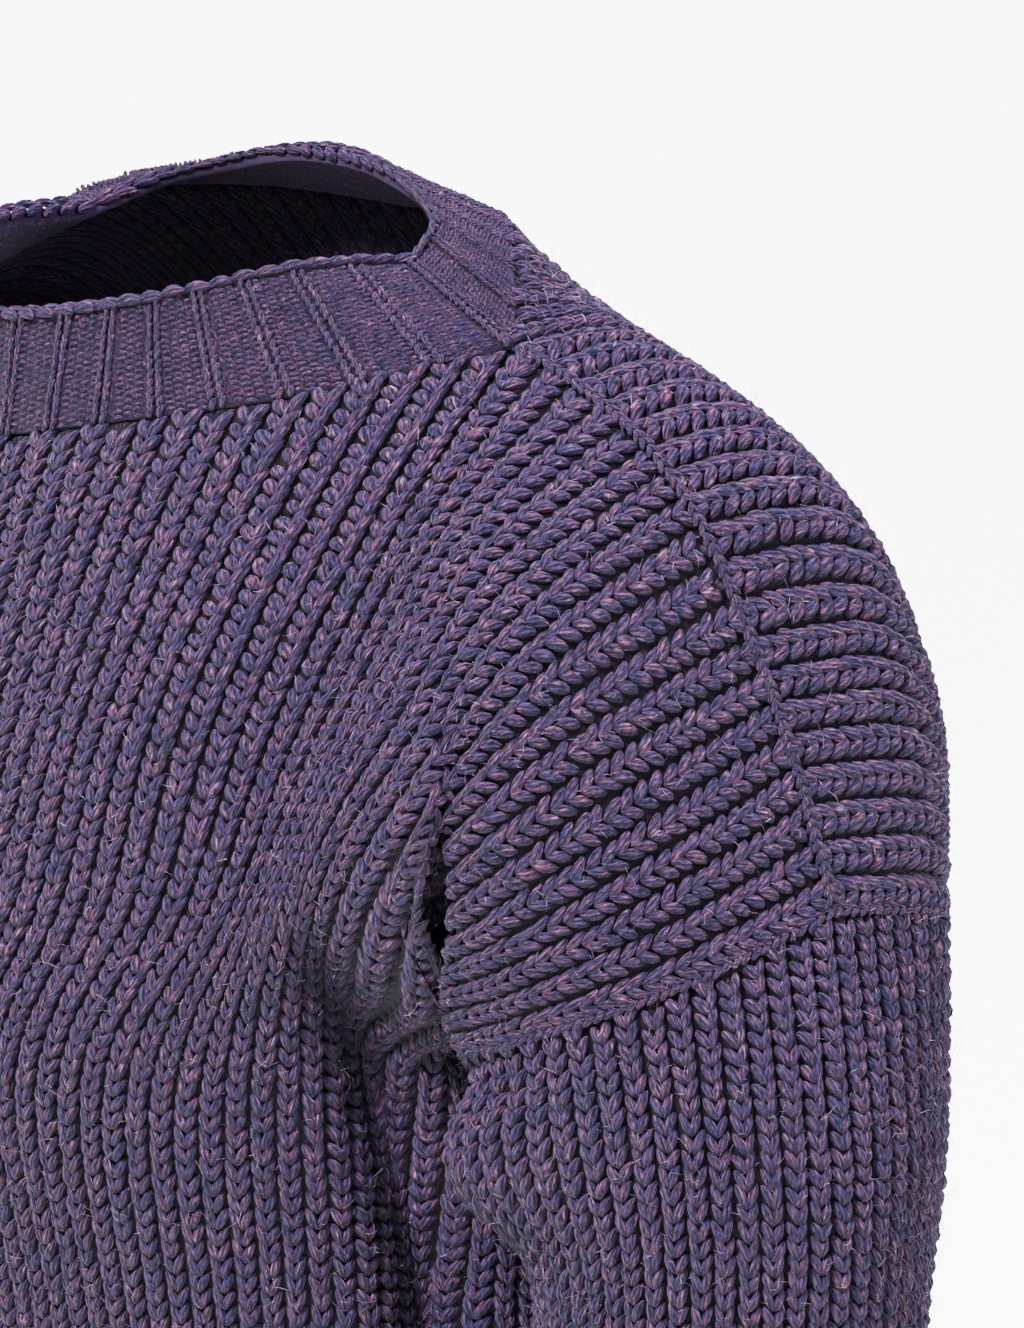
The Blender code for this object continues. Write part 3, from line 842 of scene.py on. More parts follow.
SHADES = (
    (0.22, (0.009, 0.004, 0.018)),
    (0.38, (0.036, 0.031, 0.112)),
    (0.48, (0.058, 0.025, 0.086)),
    (0.57, (0.084, 0.042, 0.122)),
    (0.68, (0.168, 0.040, 0.088)),
    (0.82, (0.300, 0.180, 0.400)),
)
# Shades of the stray fibres: the wool's own dyes, painted much lighter than the yarn as a highlight on
# thin fibres that catch the light.
LIT_HAIR_SHADES = (
    (0.30, (0.150, 0.090, 0.200)),
    (0.48, (0.320, 0.240, 0.420)),
    (0.56, (0.500, 0.220, 0.260)),
    (0.66, (0.650, 0.550, 0.720)),
)
FINISHES = {
    Wool.YARN: WoolFinish(SHADES, 0.92, 0.13, 0.66, 1.0),
    Wool.CLOTH: WoolFinish(SHADES, 0.95, 0.10, 0.52, 0.9),
    Wool.BAND: WoolFinish(SHADES, 0.94, 0.12, 0.72, 0.8, 0.92),
    Wool.HAIR: WoolFinish(LIT_HAIR_SHADES, 0.90, 0.30, 0.20, 0.0),
}


# Heather: sizes of its patches of dye, how far shades part, and how light single strands get
PATCH_SCALE, STITCH_SCALE, FIBRE_SCALE, STRAND_SCALE = 150.0, 420.0, 1.0, 2.3
PATCH_SHARE, STITCH_SHARE = 0.45, 0.55
SHADE_GAIN = 2.1
STRAND_LIGHT = (0.32, 0.68, 0.16, 2.05)   # from this noise to that, from the dimmest to the lightest
SPECULAR, SHEEN_ROUGHNESS, SHEEN_TINT = 0.25, 0.45, (0.75, 0.72, 0.95, 1.0)
BUMP_DEPTH = 0.001                        # metres
PLIES = 6.0                               # round a strand
PLY_LIGHT, PLY_GROOVE_SHADE = 0.78, 0.50          # a ply's painted rise in brightness, and the painted shade level in the grooves between plies
COVERED_PAINTED_SHADE, BAND_PAINTED_SHADE = 0.90, 0.60   # painted shade: how much darker cloth is under the yarn, on the ribbed pieces and on the neckband
# the least light that the painted shade leaves on the ribbed cloth
PAINTED_SHADE_FLOOR = 0.07


Socket = bpy.types.NodeSocket


@dataclass(frozen=True)
class Graph:
    """Short calls for laying out shader nodes in a tree."""

    tree: bpy.types.NodeTree

    def node(self, kind: str, **settings: object) -> bpy.types.Node:
        """Adds a node.

        Args:
            kind: Its type, without the shader prefix.
            settings: Its own properties.
        Returns:
            The node.
        """
        made = self.tree.nodes.new("ShaderNode" + kind if not kind.startswith("Node") else kind)
        for key, value in settings.items():
            setattr(made, key, value)
        return made

    def put(self, socket: Socket, value: object) -> None:
        """Links or sets an input.

        Args:
            socket: The input.
            value: An output to link, or a number or tuple.
        """
        if isinstance(value, Socket):
            self.tree.links.new(value, socket)
        elif value is not None:
            socket.default_value = value

    def math(self, operation: str, a: object, b: object = None, c: object = None) -> Socket:
        """Adds a Math node.

        Args:
            operation: Its operation.
            a: First value.
            b: Second value.
            c: Third value.
        Returns:
            Its result.
        """
        made = self.node("Math", operation=operation)
        for socket, value in zip(made.inputs, (a, b, c)):
            self.put(socket, value)
        return made.outputs[0]

    def noise(self, where: object, scale: float, detail: float = 2.0) -> Socket:
        """Adds a Noise Texture.

        Args:
            where: Its coordinates.
            scale: Its scale.
            detail: Its detail.
        Returns:
            Its value.
        """
        made = self.node("TexNoise")
        self.put(made.inputs["Vector"], where)
        made.inputs["Scale"].default_value = scale
        made.inputs["Detail"].default_value = detail
        return made.outputs["Fac"]

    def remap(self, value: object, start: float, end: float, low: float, high: float) -> Socket:
        """Adds a Map Range node that rises smoothly.

        Args:
            value: What is mapped.
            start: Where the rise starts.
            end: Where it ends.
            low: The result up to start.
            high: The result from end.
        Returns:
            Its result.
        """
        made = self.node("MapRange", interpolation_type="SMOOTHSTEP")
        for socket, given in zip(made.inputs, (value, start, end, low, high)):
            self.put(socket, given)
        return made.outputs["Result"]

    def split(self, vector: object) -> list[Socket]:
        """Adds a Separate XYZ node.

        Args:
            vector: The vector.
        Returns:
            Its x, y and z.
        """
        made = self.node("SeparateXYZ")
        self.put(made.inputs[0], vector)
        return list(made.outputs)

    def combine(self, x: object, y: object, z: object = 0.0) -> Socket:
        """Adds a Combine XYZ node.

        Args:
            x: First part.
            y: Second part.
            z: Third part.
        Returns:
            The vector.
        """
        made = self.node("CombineXYZ")
        for socket, value in zip(made.inputs, (x, y, z)):
            self.put(socket, value)
        return made.outputs[0]


def new_group(name: str, inputs: dict[str, str], outputs: dict[str, str]) -> tuple[
        bpy.types.NodeTree, Graph, bpy.types.Node, bpy.types.Node]:
    """Starts a shader node group.

    Args:
        name: Its name.
        inputs: Socket type of each input.
        outputs: Socket type of each output.
    Returns:
        The group, its graph, its input node and its output node.
    """
    group = bpy.data.node_groups.new(name, "ShaderNodeTree")
    for key, kind in inputs.items():
        group.interface.new_socket(name=key, in_out="INPUT", socket_type="NodeSocket" + kind)
    for key, kind in outputs.items():
        group.interface.new_socket(name=key, in_out="OUTPUT", socket_type="NodeSocket" + kind)
    graph = Graph(group)
    return group, graph, graph.node("NodeGroupInput"), graph.node("NodeGroupOutput")


def heather_group(finish: WoolFinish, name: str) -> bpy.types.NodeTree:
    """Heathered wool: fibres of several dyes along the yarn.

    Args:
        finish: The shades and how streaky they are.
        name: The group's name.
    Returns:
        A group from a place, the yarn's own coordinates and a level of painted light and shade to a colour
        and fibre height.
    """
    group, g, source, sink = new_group(
        name, {"Where": "Vector", "Along": "Vector", "PaintedLight": "Float"},
        {"Color": "Color", "Fibre": "Float"})
    where, along = source.outputs["Where"], source.outputs["Along"]
    patch = g.noise(where, PATCH_SCALE, 1.0)
    stitch = g.noise(where, STITCH_SCALE, 2.0)
    fibre = g.noise(along, FIBRE_SCALE, 3.0)
    strand = g.noise(along, STRAND_SCALE, 1.0)
    mix = g.math("MULTIPLY", fibre, finish.streak)
    body = g.math("MULTIPLY_ADD", patch, PATCH_SHARE, g.math("MULTIPLY", stitch, STITCH_SHARE))
    value = g.math("MULTIPLY_ADD", body, 1.0 - finish.streak, mix)
    value = g.math("MULTIPLY_ADD", g.math("SUBTRACT", value, 0.5), SHADE_GAIN, 0.5)
    light = g.remap(strand, *STRAND_LIGHT)
    ramp = g.node("ValToRGB")
    g.put(ramp.inputs["Fac"], value)
    stops = ramp.color_ramp.elements
    while len(stops) < len(finish.shades):
        stops.new(0.5)
    for stop, (place, shade) in zip(stops, finish.shades):
        stop.position = place
        stop.color = (*shade, 1.0)
    dim = g.node("Mix", data_type="RGBA", blend_type="MULTIPLY")
    dim.inputs["Factor"].default_value = 1.0
    # Painted light and shade: the colour is scaled by the given level and by a random lightness of single
    # strands.
    level = g.math("MULTIPLY", source.outputs["PaintedLight"], light)
    shade = g.combine(level, level, level)
    g.put(dim.inputs["A"], ramp.outputs["Color"])
    g.put(dim.inputs["B"], shade)
    g.put(sink.inputs["Color"], dim.outputs["Result"])
    height = g.math("MULTIPLY_ADD", fibre, 0.4, g.math("MULTIPLY", strand, 0.6))
    g.put(sink.inputs["Fibre"], height)
    return group


def rib_group() -> bpy.types.NodeTree:
    """Fisherman's rib as relief: columns of V's with two plump legs each.

    Returns:
        A group from rib and course numbers to height and a painted light level, dark in the grooves.
    """
    group, g, source, sink = new_group("fishermans_rib", {"Knit": "Vector"},
                                       {"Height": "Float", "LitLevel": "Float"})
    rib, course, _ = g.split(source.outputs["Knit"])
    across = g.math("ABSOLUTE", g.math("SUBTRACT", g.math("FRACT", rib), 0.5))
    across = g.math("MULTIPLY", across, 2.0)
    leg = g.math("FRACT", g.math("SUBTRACT", course, g.math("MULTIPLY", across, 1.15)))
    leg = g.math("MULTIPLY", g.math("SUBTRACT", leg, 0.5), 2.0)
    plump = g.math("SQRT", g.math("MAXIMUM", g.math("SUBTRACT", 1.0, g.math("MULTIPLY", leg, leg)), 0.0))
    flank = g.math("SUBTRACT", 1.0, g.math("POWER", across, 3.0))
    middle = g.math("MINIMUM", g.math("MULTIPLY_ADD", across, 5.0, 0.45), 1.0)
    height = g.math("MULTIPLY", g.math("MULTIPLY", plump, flank), middle)
    g.put(sink.inputs["Height"], height)
    # Painted shade: the light level is low down in the grooves and high on the crests of the legs.
    g.put(sink.inputs["LitLevel"], g.remap(height, 0.15, 0.75, 0.30, 1.12))
    return group


def strand_fibres(g: Graph, heather: bpy.types.Node, knit: Socket) -> tuple[Socket, Socket]:
    """Runs the fibres of a strand round and along it.

    Args:
        g: The material's graph.
        heather: Its heather.
        knit: The strand's own coordinates.
    Returns:
        The coordinates round and along the strand.
    """
    u, v, _ = g.split(knit)
    turn = g.math("MULTIPLY_ADD", u, 9.0, g.math("MULTIPLY", v, 2.2))
    g.put(heather.inputs["Along"], g.combine(turn, g.math("MULTIPLY", v, 1.7)))
    return u, v


def plied(g: Graph, heather: bpy.types.Node, knit: Socket) -> Socket:
    """A laid strand: plies that wind round it, with painted shade between them.

    Args:
        g: The material's graph.
        heather: Its heather.
        knit: The strand's own coordinates.
    Returns:
        The height of the relief.
    """
    u, v = strand_fibres(g, heather, knit)
    ply = g.math("SINE", g.math("MULTIPLY", g.math("MULTIPLY_ADD", u, PLIES, v), 2 * math.pi))
    round_ply = g.math("MULTIPLY_ADD", ply, 0.5, 0.5)
    # Painted shade: each ply is lighter on its crown and darker in the groove to the next.
    g.put(heather.inputs["PaintedLight"], g.math("MULTIPLY_ADD", round_ply, PLY_LIGHT, PLY_GROOVE_SHADE))
    return g.math("MULTIPLY_ADD", round_ply, 0.35, heather.outputs["Fibre"])


def ribbed(g: Graph, heather: bpy.types.Node, knit: Socket) -> Socket:
    """Ribbed cloth: stitches in relief, with painted shade in their grooves and where yarn covers it.

    Args:
        g: The material's graph.
        heather: Its heather.
        knit: Rib and course numbers.
    Returns:
        The height of the relief.
    """
    u, v, _ = g.split(knit)
    rib = g.node("Group", node_tree=rib_group())
    g.put(rib.inputs["Knit"], knit)
    leg = g.math("ABSOLUTE", g.math("SUBTRACT", g.math("FRACT", u), 0.5))
    lean = g.math("SUBTRACT", v, g.math("MULTIPLY", leg, 2.3))
    g.put(heather.inputs["Along"], g.combine(g.math("MULTIPLY", u, 5.0), g.math("MULTIPLY", lean, 7.0)))
    # Painted shade: the cloth darkens where yarn lies on it, down to a floor.
    covered = g.node("Attribute", attribute_name="covered").outputs["Fac"]
    shade = g.math("MULTIPLY_ADD", covered, -COVERED_PAINTED_SHADE, rib.outputs["LitLevel"])
    g.put(heather.inputs["PaintedLight"], g.math("MAXIMUM", shade, PAINTED_SHADE_FLOOR))
    stitch = g.math("MULTIPLY", rib.outputs["Height"], 1.6)
    return g.math("MULTIPLY_ADD", heather.outputs["Fibre"], 0.25, stitch)


def fibrous(g: Graph, heather: bpy.types.Node, knit: Socket, level: float) -> Socket:
    """Wool without plies: the neckband's ground and the stray fibres, with painted shade where yarn covers
    it.

    Args:
        g: The material's graph.
        heather: Its heather.
        knit: The piece's own coordinates.
        level: How light it is where no yarn covers it.
    Returns:
        The height of the relief.
    """
    strand_fibres(g, heather, knit)
    covered = g.node("Attribute", attribute_name="covered").outputs["Fac"]
    # Painted shade: the level drops where yarn covers the cloth.
    g.put(heather.inputs["PaintedLight"], g.math("MULTIPLY_ADD", covered, -BAND_PAINTED_SHADE, level))
    return heather.outputs["Fibre"]


def wool_material(kind: Wool) -> bpy.types.Material:
    """The material of one wool.

    Args:
        kind: Which wool.
    Returns:
        The material.
    """
    finish = FINISHES[kind]
    material = bpy.data.materials.new("wool_" + kind.value)
    material.use_nodes = True
    g = Graph(material.node_tree)
    shader = material.node_tree.nodes["Principled BSDF"]
    shader.inputs["Roughness"].default_value = finish.roughness
    shader.inputs["Specular IOR Level"].default_value = SPECULAR
    shader.inputs["Sheen Weight"].default_value = finish.sheen
    shader.inputs["Sheen Roughness"].default_value = SHEEN_ROUGHNESS
    shader.inputs["Sheen Tint"].default_value = SHEEN_TINT
    knit = g.node("UVMap", uv_map="knit").outputs["UV"]
    heather = g.node("Group", node_tree=heather_group(finish, "heather_" + kind.value))
    g.put(heather.inputs["Where"], g.node("TexCoord").outputs["Object"])
    if kind is Wool.YARN:
        height = plied(g, heather, knit)
    elif kind is Wool.CLOTH:
        height = ribbed(g, heather, knit)
    else:
        height = fibrous(g, heather, knit, finish.level)
    bump = g.node("Bump")
    bump.inputs["Distance"].default_value = BUMP_DEPTH
    bump.inputs["Strength"].default_value = finish.bump
    g.put(bump.inputs["Height"], height)
    g.put(shader.inputs["Base Color"], heather.outputs["Color"])
    g.put(shader.inputs["Normal"], bump.outputs["Normal"])
    return material


YARN_FLOOR = -28.5     # yarn is laid above this height, which is below the view
YARN_FADE = 0.8        # centimetres over which the cloth's sinking and its painted shade under the yarn fade out at the yarn's edge
FINE_FROM = -2.5       # from this rib of the front on, towards the wearer's left, the leg is finer
ARM_YARN = (-10.5, 21.5)                  # first and last rib of the sleeve with yarn
EDGE_CLEAR, ARMHOLE_CLEAR = 0.07, 0.10    # the first stitch's distance from a sewn edge
SHOULDER_LIFT, ARMHOLE_LIFT, SIDE_LIFT = 0.12, 0.08, -0.06  # of the sewn lines, out of the cloth
SEAM_STITCH, SIDE_STITCH = 0.27, 0.36     # from stitch to stitch of a sewn line
RIM_LINK = 0.60                           # from link to link of the cast-off chain
BAND_END, BAND_COURSES = 0.985, 8.0       # share of the band's height that shows, and its courses
CORNER_LEAN = ((-0.6, 0.4, 0.3), (0.6, 0.4, 0.3))  # bends the normals at its right and left corner
BAND_STITCH, PURL_STITCH = 0.25, 0.172    # from stitch to stitch up a column
PURL_COLUMN = 0.34                        # from column to column, in ribs of the body
WALE_HALF, WALE_CLEAR = 0.15, 0.14        # from a pair's middle to its columns, and on to the bumps
PURL_CLEAR, WALE_TOP = 0.12, 0.10         # the first bump's and the first leg's distance from the rim
FIBRES = 6000
FIBRE_SCATTER, FIBRE_LIFT = 0.13, 0.17    # how far fibres start from a stitch, and out of it
FIBRE_LENGTH, LONG_FIBRE = (0.15, 0.30), 0.35   # usual lengths, and how much longer a few are
FIBRE_RADII = (0.0066, 0.0058, 0.0026)          # at its root, middle and tip
LEG_HALF = (0.161, 0.348, 0.142)                # half width, half length and half thickness
FINE_LEG = Strand.make(6, 6, LEG_HALF, 36.0, (0.165, 0.0, 0.052), 0.11, 0.05)
PLAIN_LEG = Strand.make(6, 4, LEG_HALF, 36.0, (0.165, 0.0, 0.052), 0.10, 0.05)
BAND_LEG = Strand.make(6, 4, (0.085, 0.20, 0.095), 17.0, (0.0, 0.0, 0.09), 0.05, 0.0)
PURL = Strand.make(6, 4, (0.058, 0.150, 0.080), 90.0, (0.0, 0.0, 0.015), 0.06, 0.0)
CHAIN_LEG = Strand.make(6, 6, (0.140, 0.41, 0.150), 20.0, (0.10, 0.0, 0.08), 0.08, 0.0)
SEAM_LEG = Strand.make(6, 4, (0.085, 0.22, 0.08), 28.0, (0.065, 0.0, 0.03), 0.04, 0.0)


@dataclass
class Garment:
    """What all pieces share: their materials and the list of what is made."""

    wools: dict[Wool, bpy.types.Material]
    made: list[bpy.types.Object]

    def own(self, obj: bpy.types.Object, wool: Wool, slot: str, *nodes: str) -> bpy.types.Object:
        """Gives a piece its wool and body.

        Args:
            obj: The piece.
            wool: Its wool.
            slot: The record's material slot; not used.
            nodes: Nodes of the frame that it stands for.
        Returns:
            The piece.
        """
        obj.data.materials.append(self.wools[wool])
        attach(obj, "root")
        if nodes:
            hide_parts(*nodes)
        self.made.append(obj)
        triangles = sum(len(p.vertices) - 2 for p in obj.data.polygons)
        LOG.info("%s: %d triangles", obj.name, triangles)
        return obj


@dataclass
class BodyPiece:
    """The front or the back: its cloth, and the yarn on its upper part.

    The yarn lies on the ribs between its two limits, and reaches so many centimetres down.
    """

    name: str
    surface: Surface
    flat: tuple[float, float]
    yarn_ribs: tuple[float, float]
    yarn_reach: float

    def covered(self, points: Array, columns: Array, from_top: Array) -> Array:
        """How far yarn covers places.

        Args:
            points: The places.
            columns: Their ribs.
            from_top: Their distances from the upper edge.
        Returns:
            1 under the yarn and 0 away from it.
        """
        low, high = self.yarn_ribs
        side = smooth(columns - low + 1.0) * smooth(high + 1.0 - columns)
        down = smooth((points[..., 2] - YARN_FLOOR) / YARN_FADE)
        return side * down * smooth((self.yarn_reach - from_top) / YARN_FADE)

    def cloth(self) -> bpy.types.Object:
        """The sheet of cloth.

        Returns:
            The object.
        """
        rows = np.concatenate([np.linspace(0.0012, 0.5, 38), np.linspace(0.5, 1.0, 22)[1:]])
        columns = np.arange(-BODY_RIBS, BODY_RIBS + 0.25, 0.5)
        return ribbed_cloth(self.name + "_cloth", self.surface, columns, rows, False,
                            lambda p, d: self.covered(p, columns[:, None], d), PITCH, 1.5)

    def stitches(self) -> list[tuple[str, Stations, Strand]]:
        """Where the yarn lies, with a plainer leg on the far side of the middle.

        Returns:
            Names, stations and the leg to lay there.
        """
        def wanted(points: Array, from_top: Array) -> Array:
            """Tells which stitches lie above the yarn's floor, clear of the seam and within reach."""
            return ((points[:, 2] > YARN_FLOOR) & (from_top > EDGE_CLEAR)
                    & (from_top < self.yarn_reach))
        low, high = self.yarn_ribs
        near = np.arange(max(low, FINE_FROM), high + 0.1)
        if low < FINE_FROM:
            half = len(near) // 2
            parts = {"yarn_1": (near[:half], FINE_LEG), "yarn_2": (near[half:], FINE_LEG),
                     "yarn_far": (np.arange(low, FINE_FROM - 0.1), PLAIN_LEG)}
        else:
            parts = {"yarn_1": (near, FINE_LEG)}
        return [(f"{self.name}_{part}", lay_along(self.surface, columns, COURSE, wanted), leg)
                for part, (columns, leg) in parts.items()]


@dataclass
class SleevePiece:
    """A sleeve: its cloth, and yarn on the side that faces outward."""

    name: str
    surface: Surface
    yarn: bool

    def covered(self, points: Array, columns: Array) -> Array:
        """How far yarn covers places.

        Args:
            points: The places.
            columns: Their ribs.
        Returns:
            1 under the yarn and 0 away from it.
        """
        first, last = ARM_YARN
        side = (columns - first + 0.5) % SLEEVE_RIBS < last - first + 1.0
        return smooth((points[..., 2] - YARN_FLOOR) / YARN_FADE) * side * float(self.yarn)

    def cloth(self) -> bpy.types.Object:
        """The sheet of cloth.

        Returns:
            The object.
        """
        rows = np.concatenate([np.linspace(0.0015, 0.3, 26), np.linspace(0.3, 1.0, 24)[1:]])
        columns = np.arange(0.0, SLEEVE_RIBS, 0.5)
        return ribbed_cloth(self.name + "_cloth", self.surface, columns, rows, True,
                            lambda p, d: self.covered(p, columns[:, None]), 0.6, 1.0)

    def stitches(self) -> Stations:
        """Where the yarn lies.

        Returns:
            The stations.
        """
        columns = np.arange(ARM_YARN[0], ARM_YARN[1] + 0.1)
        return lay_along(self.surface, columns, COURSE,
                         lambda p, d: (p[:, 2] > YARN_FLOOR) & (d > ARMHOLE_CLEAR))


@dataclass
class Neckband:
    """The wide-ribbed neckband with its chained rim."""

    name: str = "neckband"

    def halves(self) -> tuple[tuple[Surface, int], tuple[Surface, int]]:
        """Its front and back.

        Returns:
            Each surface with its count of wide ribs.
        """
        return (BAND_FRONT, BAND_RIBS_FRONT), (BAND_BACK, BAND_RIBS_BACK)

    def cloth(self) -> bpy.types.Object:
        """The sheet of cloth.

        Returns:
            The object.
        """
        rows = np.linspace(0.0, BAND_END, 9)
        front = np.arange(-NECK_RIBS, NECK_RIBS + 0.01, 0.5)
        back = front[::-1][1:-1]
        parts = [BAND_FRONT.frames(front, rows), BAND_BACK.frames(back, rows)]
        points = np.concatenate([p[0] for p in parts])
        out = np.concatenate([p[3] for p in parts])
        corner = [0, len(front) - 1]
        out[corner] = unit(out[corner] + np.array(CORNER_LEAN)[:, None])
        columns = np.arange(len(points)) * 0.5
        courses = np.repeat((1.0 - rows[None]) * BAND_COURSES, len(points), 0)
        stops = list(range(0, len(points), BAND_INNER_STEP))
        # The whole band cloth counts as covered, so all of it takes the painted shade under its yarn.
        return cloth_object(self.name + "_cloth", points, points[stops] - out[stops] * WALL, stops, True,
                            columns, courses, np.ones(points.shape[:2]))

    def wales(self, count: int) -> Array:
        """The paired knit columns between the flat stretches.

        Args:
            count: Wide ribs of this half.
        Returns:
            A rib for each column of knit stitches.
        """
        middle = np.linspace(-NECK_RIBS, NECK_RIBS, count + 1)
        return np.concatenate([middle - WALE_HALF, middle + WALE_HALF])

    def purl(self) -> Stations:
        """The small bumps of the flat stretches.

        Returns:
            The stations.
        """
        sets = []
        for surface, count in self.halves():
            columns = np.arange(-NECK_RIBS + 0.15, NECK_RIBS, PURL_COLUMN)
            gap = np.abs(columns[:, None] - self.wales(count)[None]).min(1)
            sets.append(lay_along(surface, columns[gap > WALE_CLEAR], PURL_STITCH,
                                  lambda p, d: d > PURL_CLEAR, brick=True))
        return Stations.join(sets)

    def knit(self) -> Stations:
        """The legs of the knit columns.

        Returns:
            The stations.
        """
        sets = []
        for surface, count in self.halves():
            columns = self.wales(count)
            columns = columns[np.abs(columns) < NECK_RIBS]
            sets.append(lay_along(surface, columns, BAND_STITCH, lambda p, d: d > WALE_TOP))
        return Stations.join(sets)

    def rim(self) -> Stations:
        """The links of the cast-off chain.

        Returns:
            The stations.
        """
        sets = []
        for surface, _ in self.halves():
            columns = np.linspace(-NECK_RIBS, NECK_RIBS, 200)
            sets.append(line_stations(surface, 0.0, columns, RIM_LINK, 0.7))
        return Stations.join(sets)


def line_stations(surface: Surface, row: float, columns: Array, step: float, roll: float) -> Stations:
    """Stations along a line across the ribs, such as a rim or seam.

    Args:
        surface: The form.
        row: Share of the way down.
        columns: Ribs that the line passes, close together.
        step: Centimetres between stations.
        roll: How far they turn from facing out to facing up, 0 to 1.
    Returns:
        The stations, whose up is along the line.
    """
    points, across, up, out = (a[:, 0] for a in surface.frames(columns, np.array([row])))
    run = length_so_far(points)
    at = np.arange(step / 2, run[-1], step)
    points, along, up, out = (resample(v, run, at) for v in (points, unit(across), up, out))
    face, along = unit(out * (1.0 - roll) + up * roll), unit(along)
    return Stations(points, np.cross(along, face) * PITCH, along, face)


def seam_stations() -> Stations:
    """The sewn lines: shoulders, armholes and sides.

    Returns:
        The stations.
    """
    sets = []
    for side in (1.0, -1.0):
        columns = np.linspace(NECK_RIBS + 0.3, BODY_RIBS - 0.1, 160) * side
        front = line_stations(FRONT, 0.0, columns, SEAM_STITCH, 0.0)
        back = line_stations(BACK, 0.0, columns, SEAM_STITCH, 0.0)
        face = unit(front.out + back.out)
        sets.append(Stations(front.points + face * SHOULDER_LIFT, np.cross(front.up, face) * PITCH,
                             front.up, face))
    for surface in (SLEEVE, SLEEVE_RIGHT):
        columns = np.linspace(0.0, SLEEVE_RIBS, 400)
        ring = line_stations(surface, 0.0, columns, SEAM_STITCH, 0.25)
        sets.append(Stations(ring.points + ring.out * ARMHOLE_LIFT, ring.across, ring.up, ring.out))
    for side in (1.0, -1.0):
        line = lay_along(FRONT, np.array([(BODY_RIBS - 0.03) * side]), SIDE_STITCH,
                         lambda p, d: p[:, 2] < UNDERARM[2])
        middle = line.points + unit(line.across) * side * SEAM_GAP / 2 + line.out * SIDE_LIFT
        sets.append(Stations(middle, unit(line.across) * PITCH, line.up, line.out))
    return Stations.join(sets)


def fuzz_object(name: str, stations: Stations, count: int, seed: int) -> bpy.types.Object:
    """Stray wool fibres that stand off the yarn.

    Args:
        name: The object's name.
        stations: Where yarn lies.
        count: How many fibres.
        seed: Of their places and bends.
    Returns:
        The object.
    """
    rng = np.random.default_rng(seed)
    pick = rng.integers(0, len(stations.points), count)
    out = stations.out[pick]
    base = stations.points[pick] + rng.normal(0.0, FIBRE_SCATTER, (count, 3)) + out * FIBRE_LIFT
    way = unit(unit(rng.normal(0.0, 1.0, (count, 3))) + out * 0.35)
    bend = unit(np.cross(way, rng.normal(0.0, 1.0, (count, 3))))
    length = rng.uniform(*FIBRE_LENGTH, (count, 1)) + LONG_FIBRE * rng.random((count, 1)) ** 3
    curl = rng.uniform(-0.9, 0.9, (count, 1))
    rings = []
    for s in (0.0, 0.5, 1.0):
        sag = bend * curl * 0.8 - out * 0.35
        rings.append(base + (way * s + sag * s * s) * length)
    line = np.stack(rings, 1)
    side = unit(np.cross(way, out))
    other = unit(np.cross(way, side))
    angle = 2 * math.pi * np.arange(3) / 3
    hoop = (side[:, None, None] * np.cos(angle)[None, None, :, None]
            + other[:, None, None] * np.sin(angle)[None, None, :, None])
    width = np.array(FIBRE_RADII)[None, :, None, None]
    verts = (line[:, :, None] + hoop * width).reshape(-1, 3)
    quads = []
    for j in range(2):
        for k in range(3):
            a, b = j * 3 + k, j * 3 + (k + 1) % 3
            quads.append((a, b, b + 3, a + 3))
    faces = (np.array(quads)[None] + 9 * np.arange(count)[:, None, None]).reshape(-1, 4)
    uvs = np.tile(np.array([[0.0, 0.0], [0.3, 0.0], [0.3, 0.3], [0.0, 0.3]]), (len(faces), 1))
    uvs += np.repeat(rng.uniform(0.0, 90.0, (count, 2)), 24, axis=0)
    return grid_object(name, verts, faces, uvs)


class Lamp(NamedTuple):
    """A square area light: place and aim in metres, side in metres, power in watts."""

    name: str
    where: tuple[float, float, float]
    aim: tuple[float, float, float]
    size: float
    watts: float
    color: tuple[float, float, float]


LAMPS = (
    Lamp("key", (0.62, -1.45, 1.55), (0.1, 0.0, -0.08), 0.50, 100.0, (0.97, 0.96, 1.0)),
    Lamp("side", (2.4, 0.6, 1.2), (0.1, 0.0, -0.15), 1.2, 52.0, (0.94, 0.96, 1.0)),
    Lamp("top", (-0.6, 0.3, 2.6), (0.0, 0.0, -0.1), 1.4, 58.0, (0.97, 0.97, 1.0)),
)
SKY_RISE = (-0.7, 0.8)        # heights between which the sky brightens
SKY_STRENGTH = (0.05, 0.72)   # below and above them
FLOOR_RADIUS, FLOOR_GAP = 40.0, 0.002   # metres: its size, and how far it lies below the hem
FLOOR_GLOW = 9.0
FLOOR_SHADE = 0.93


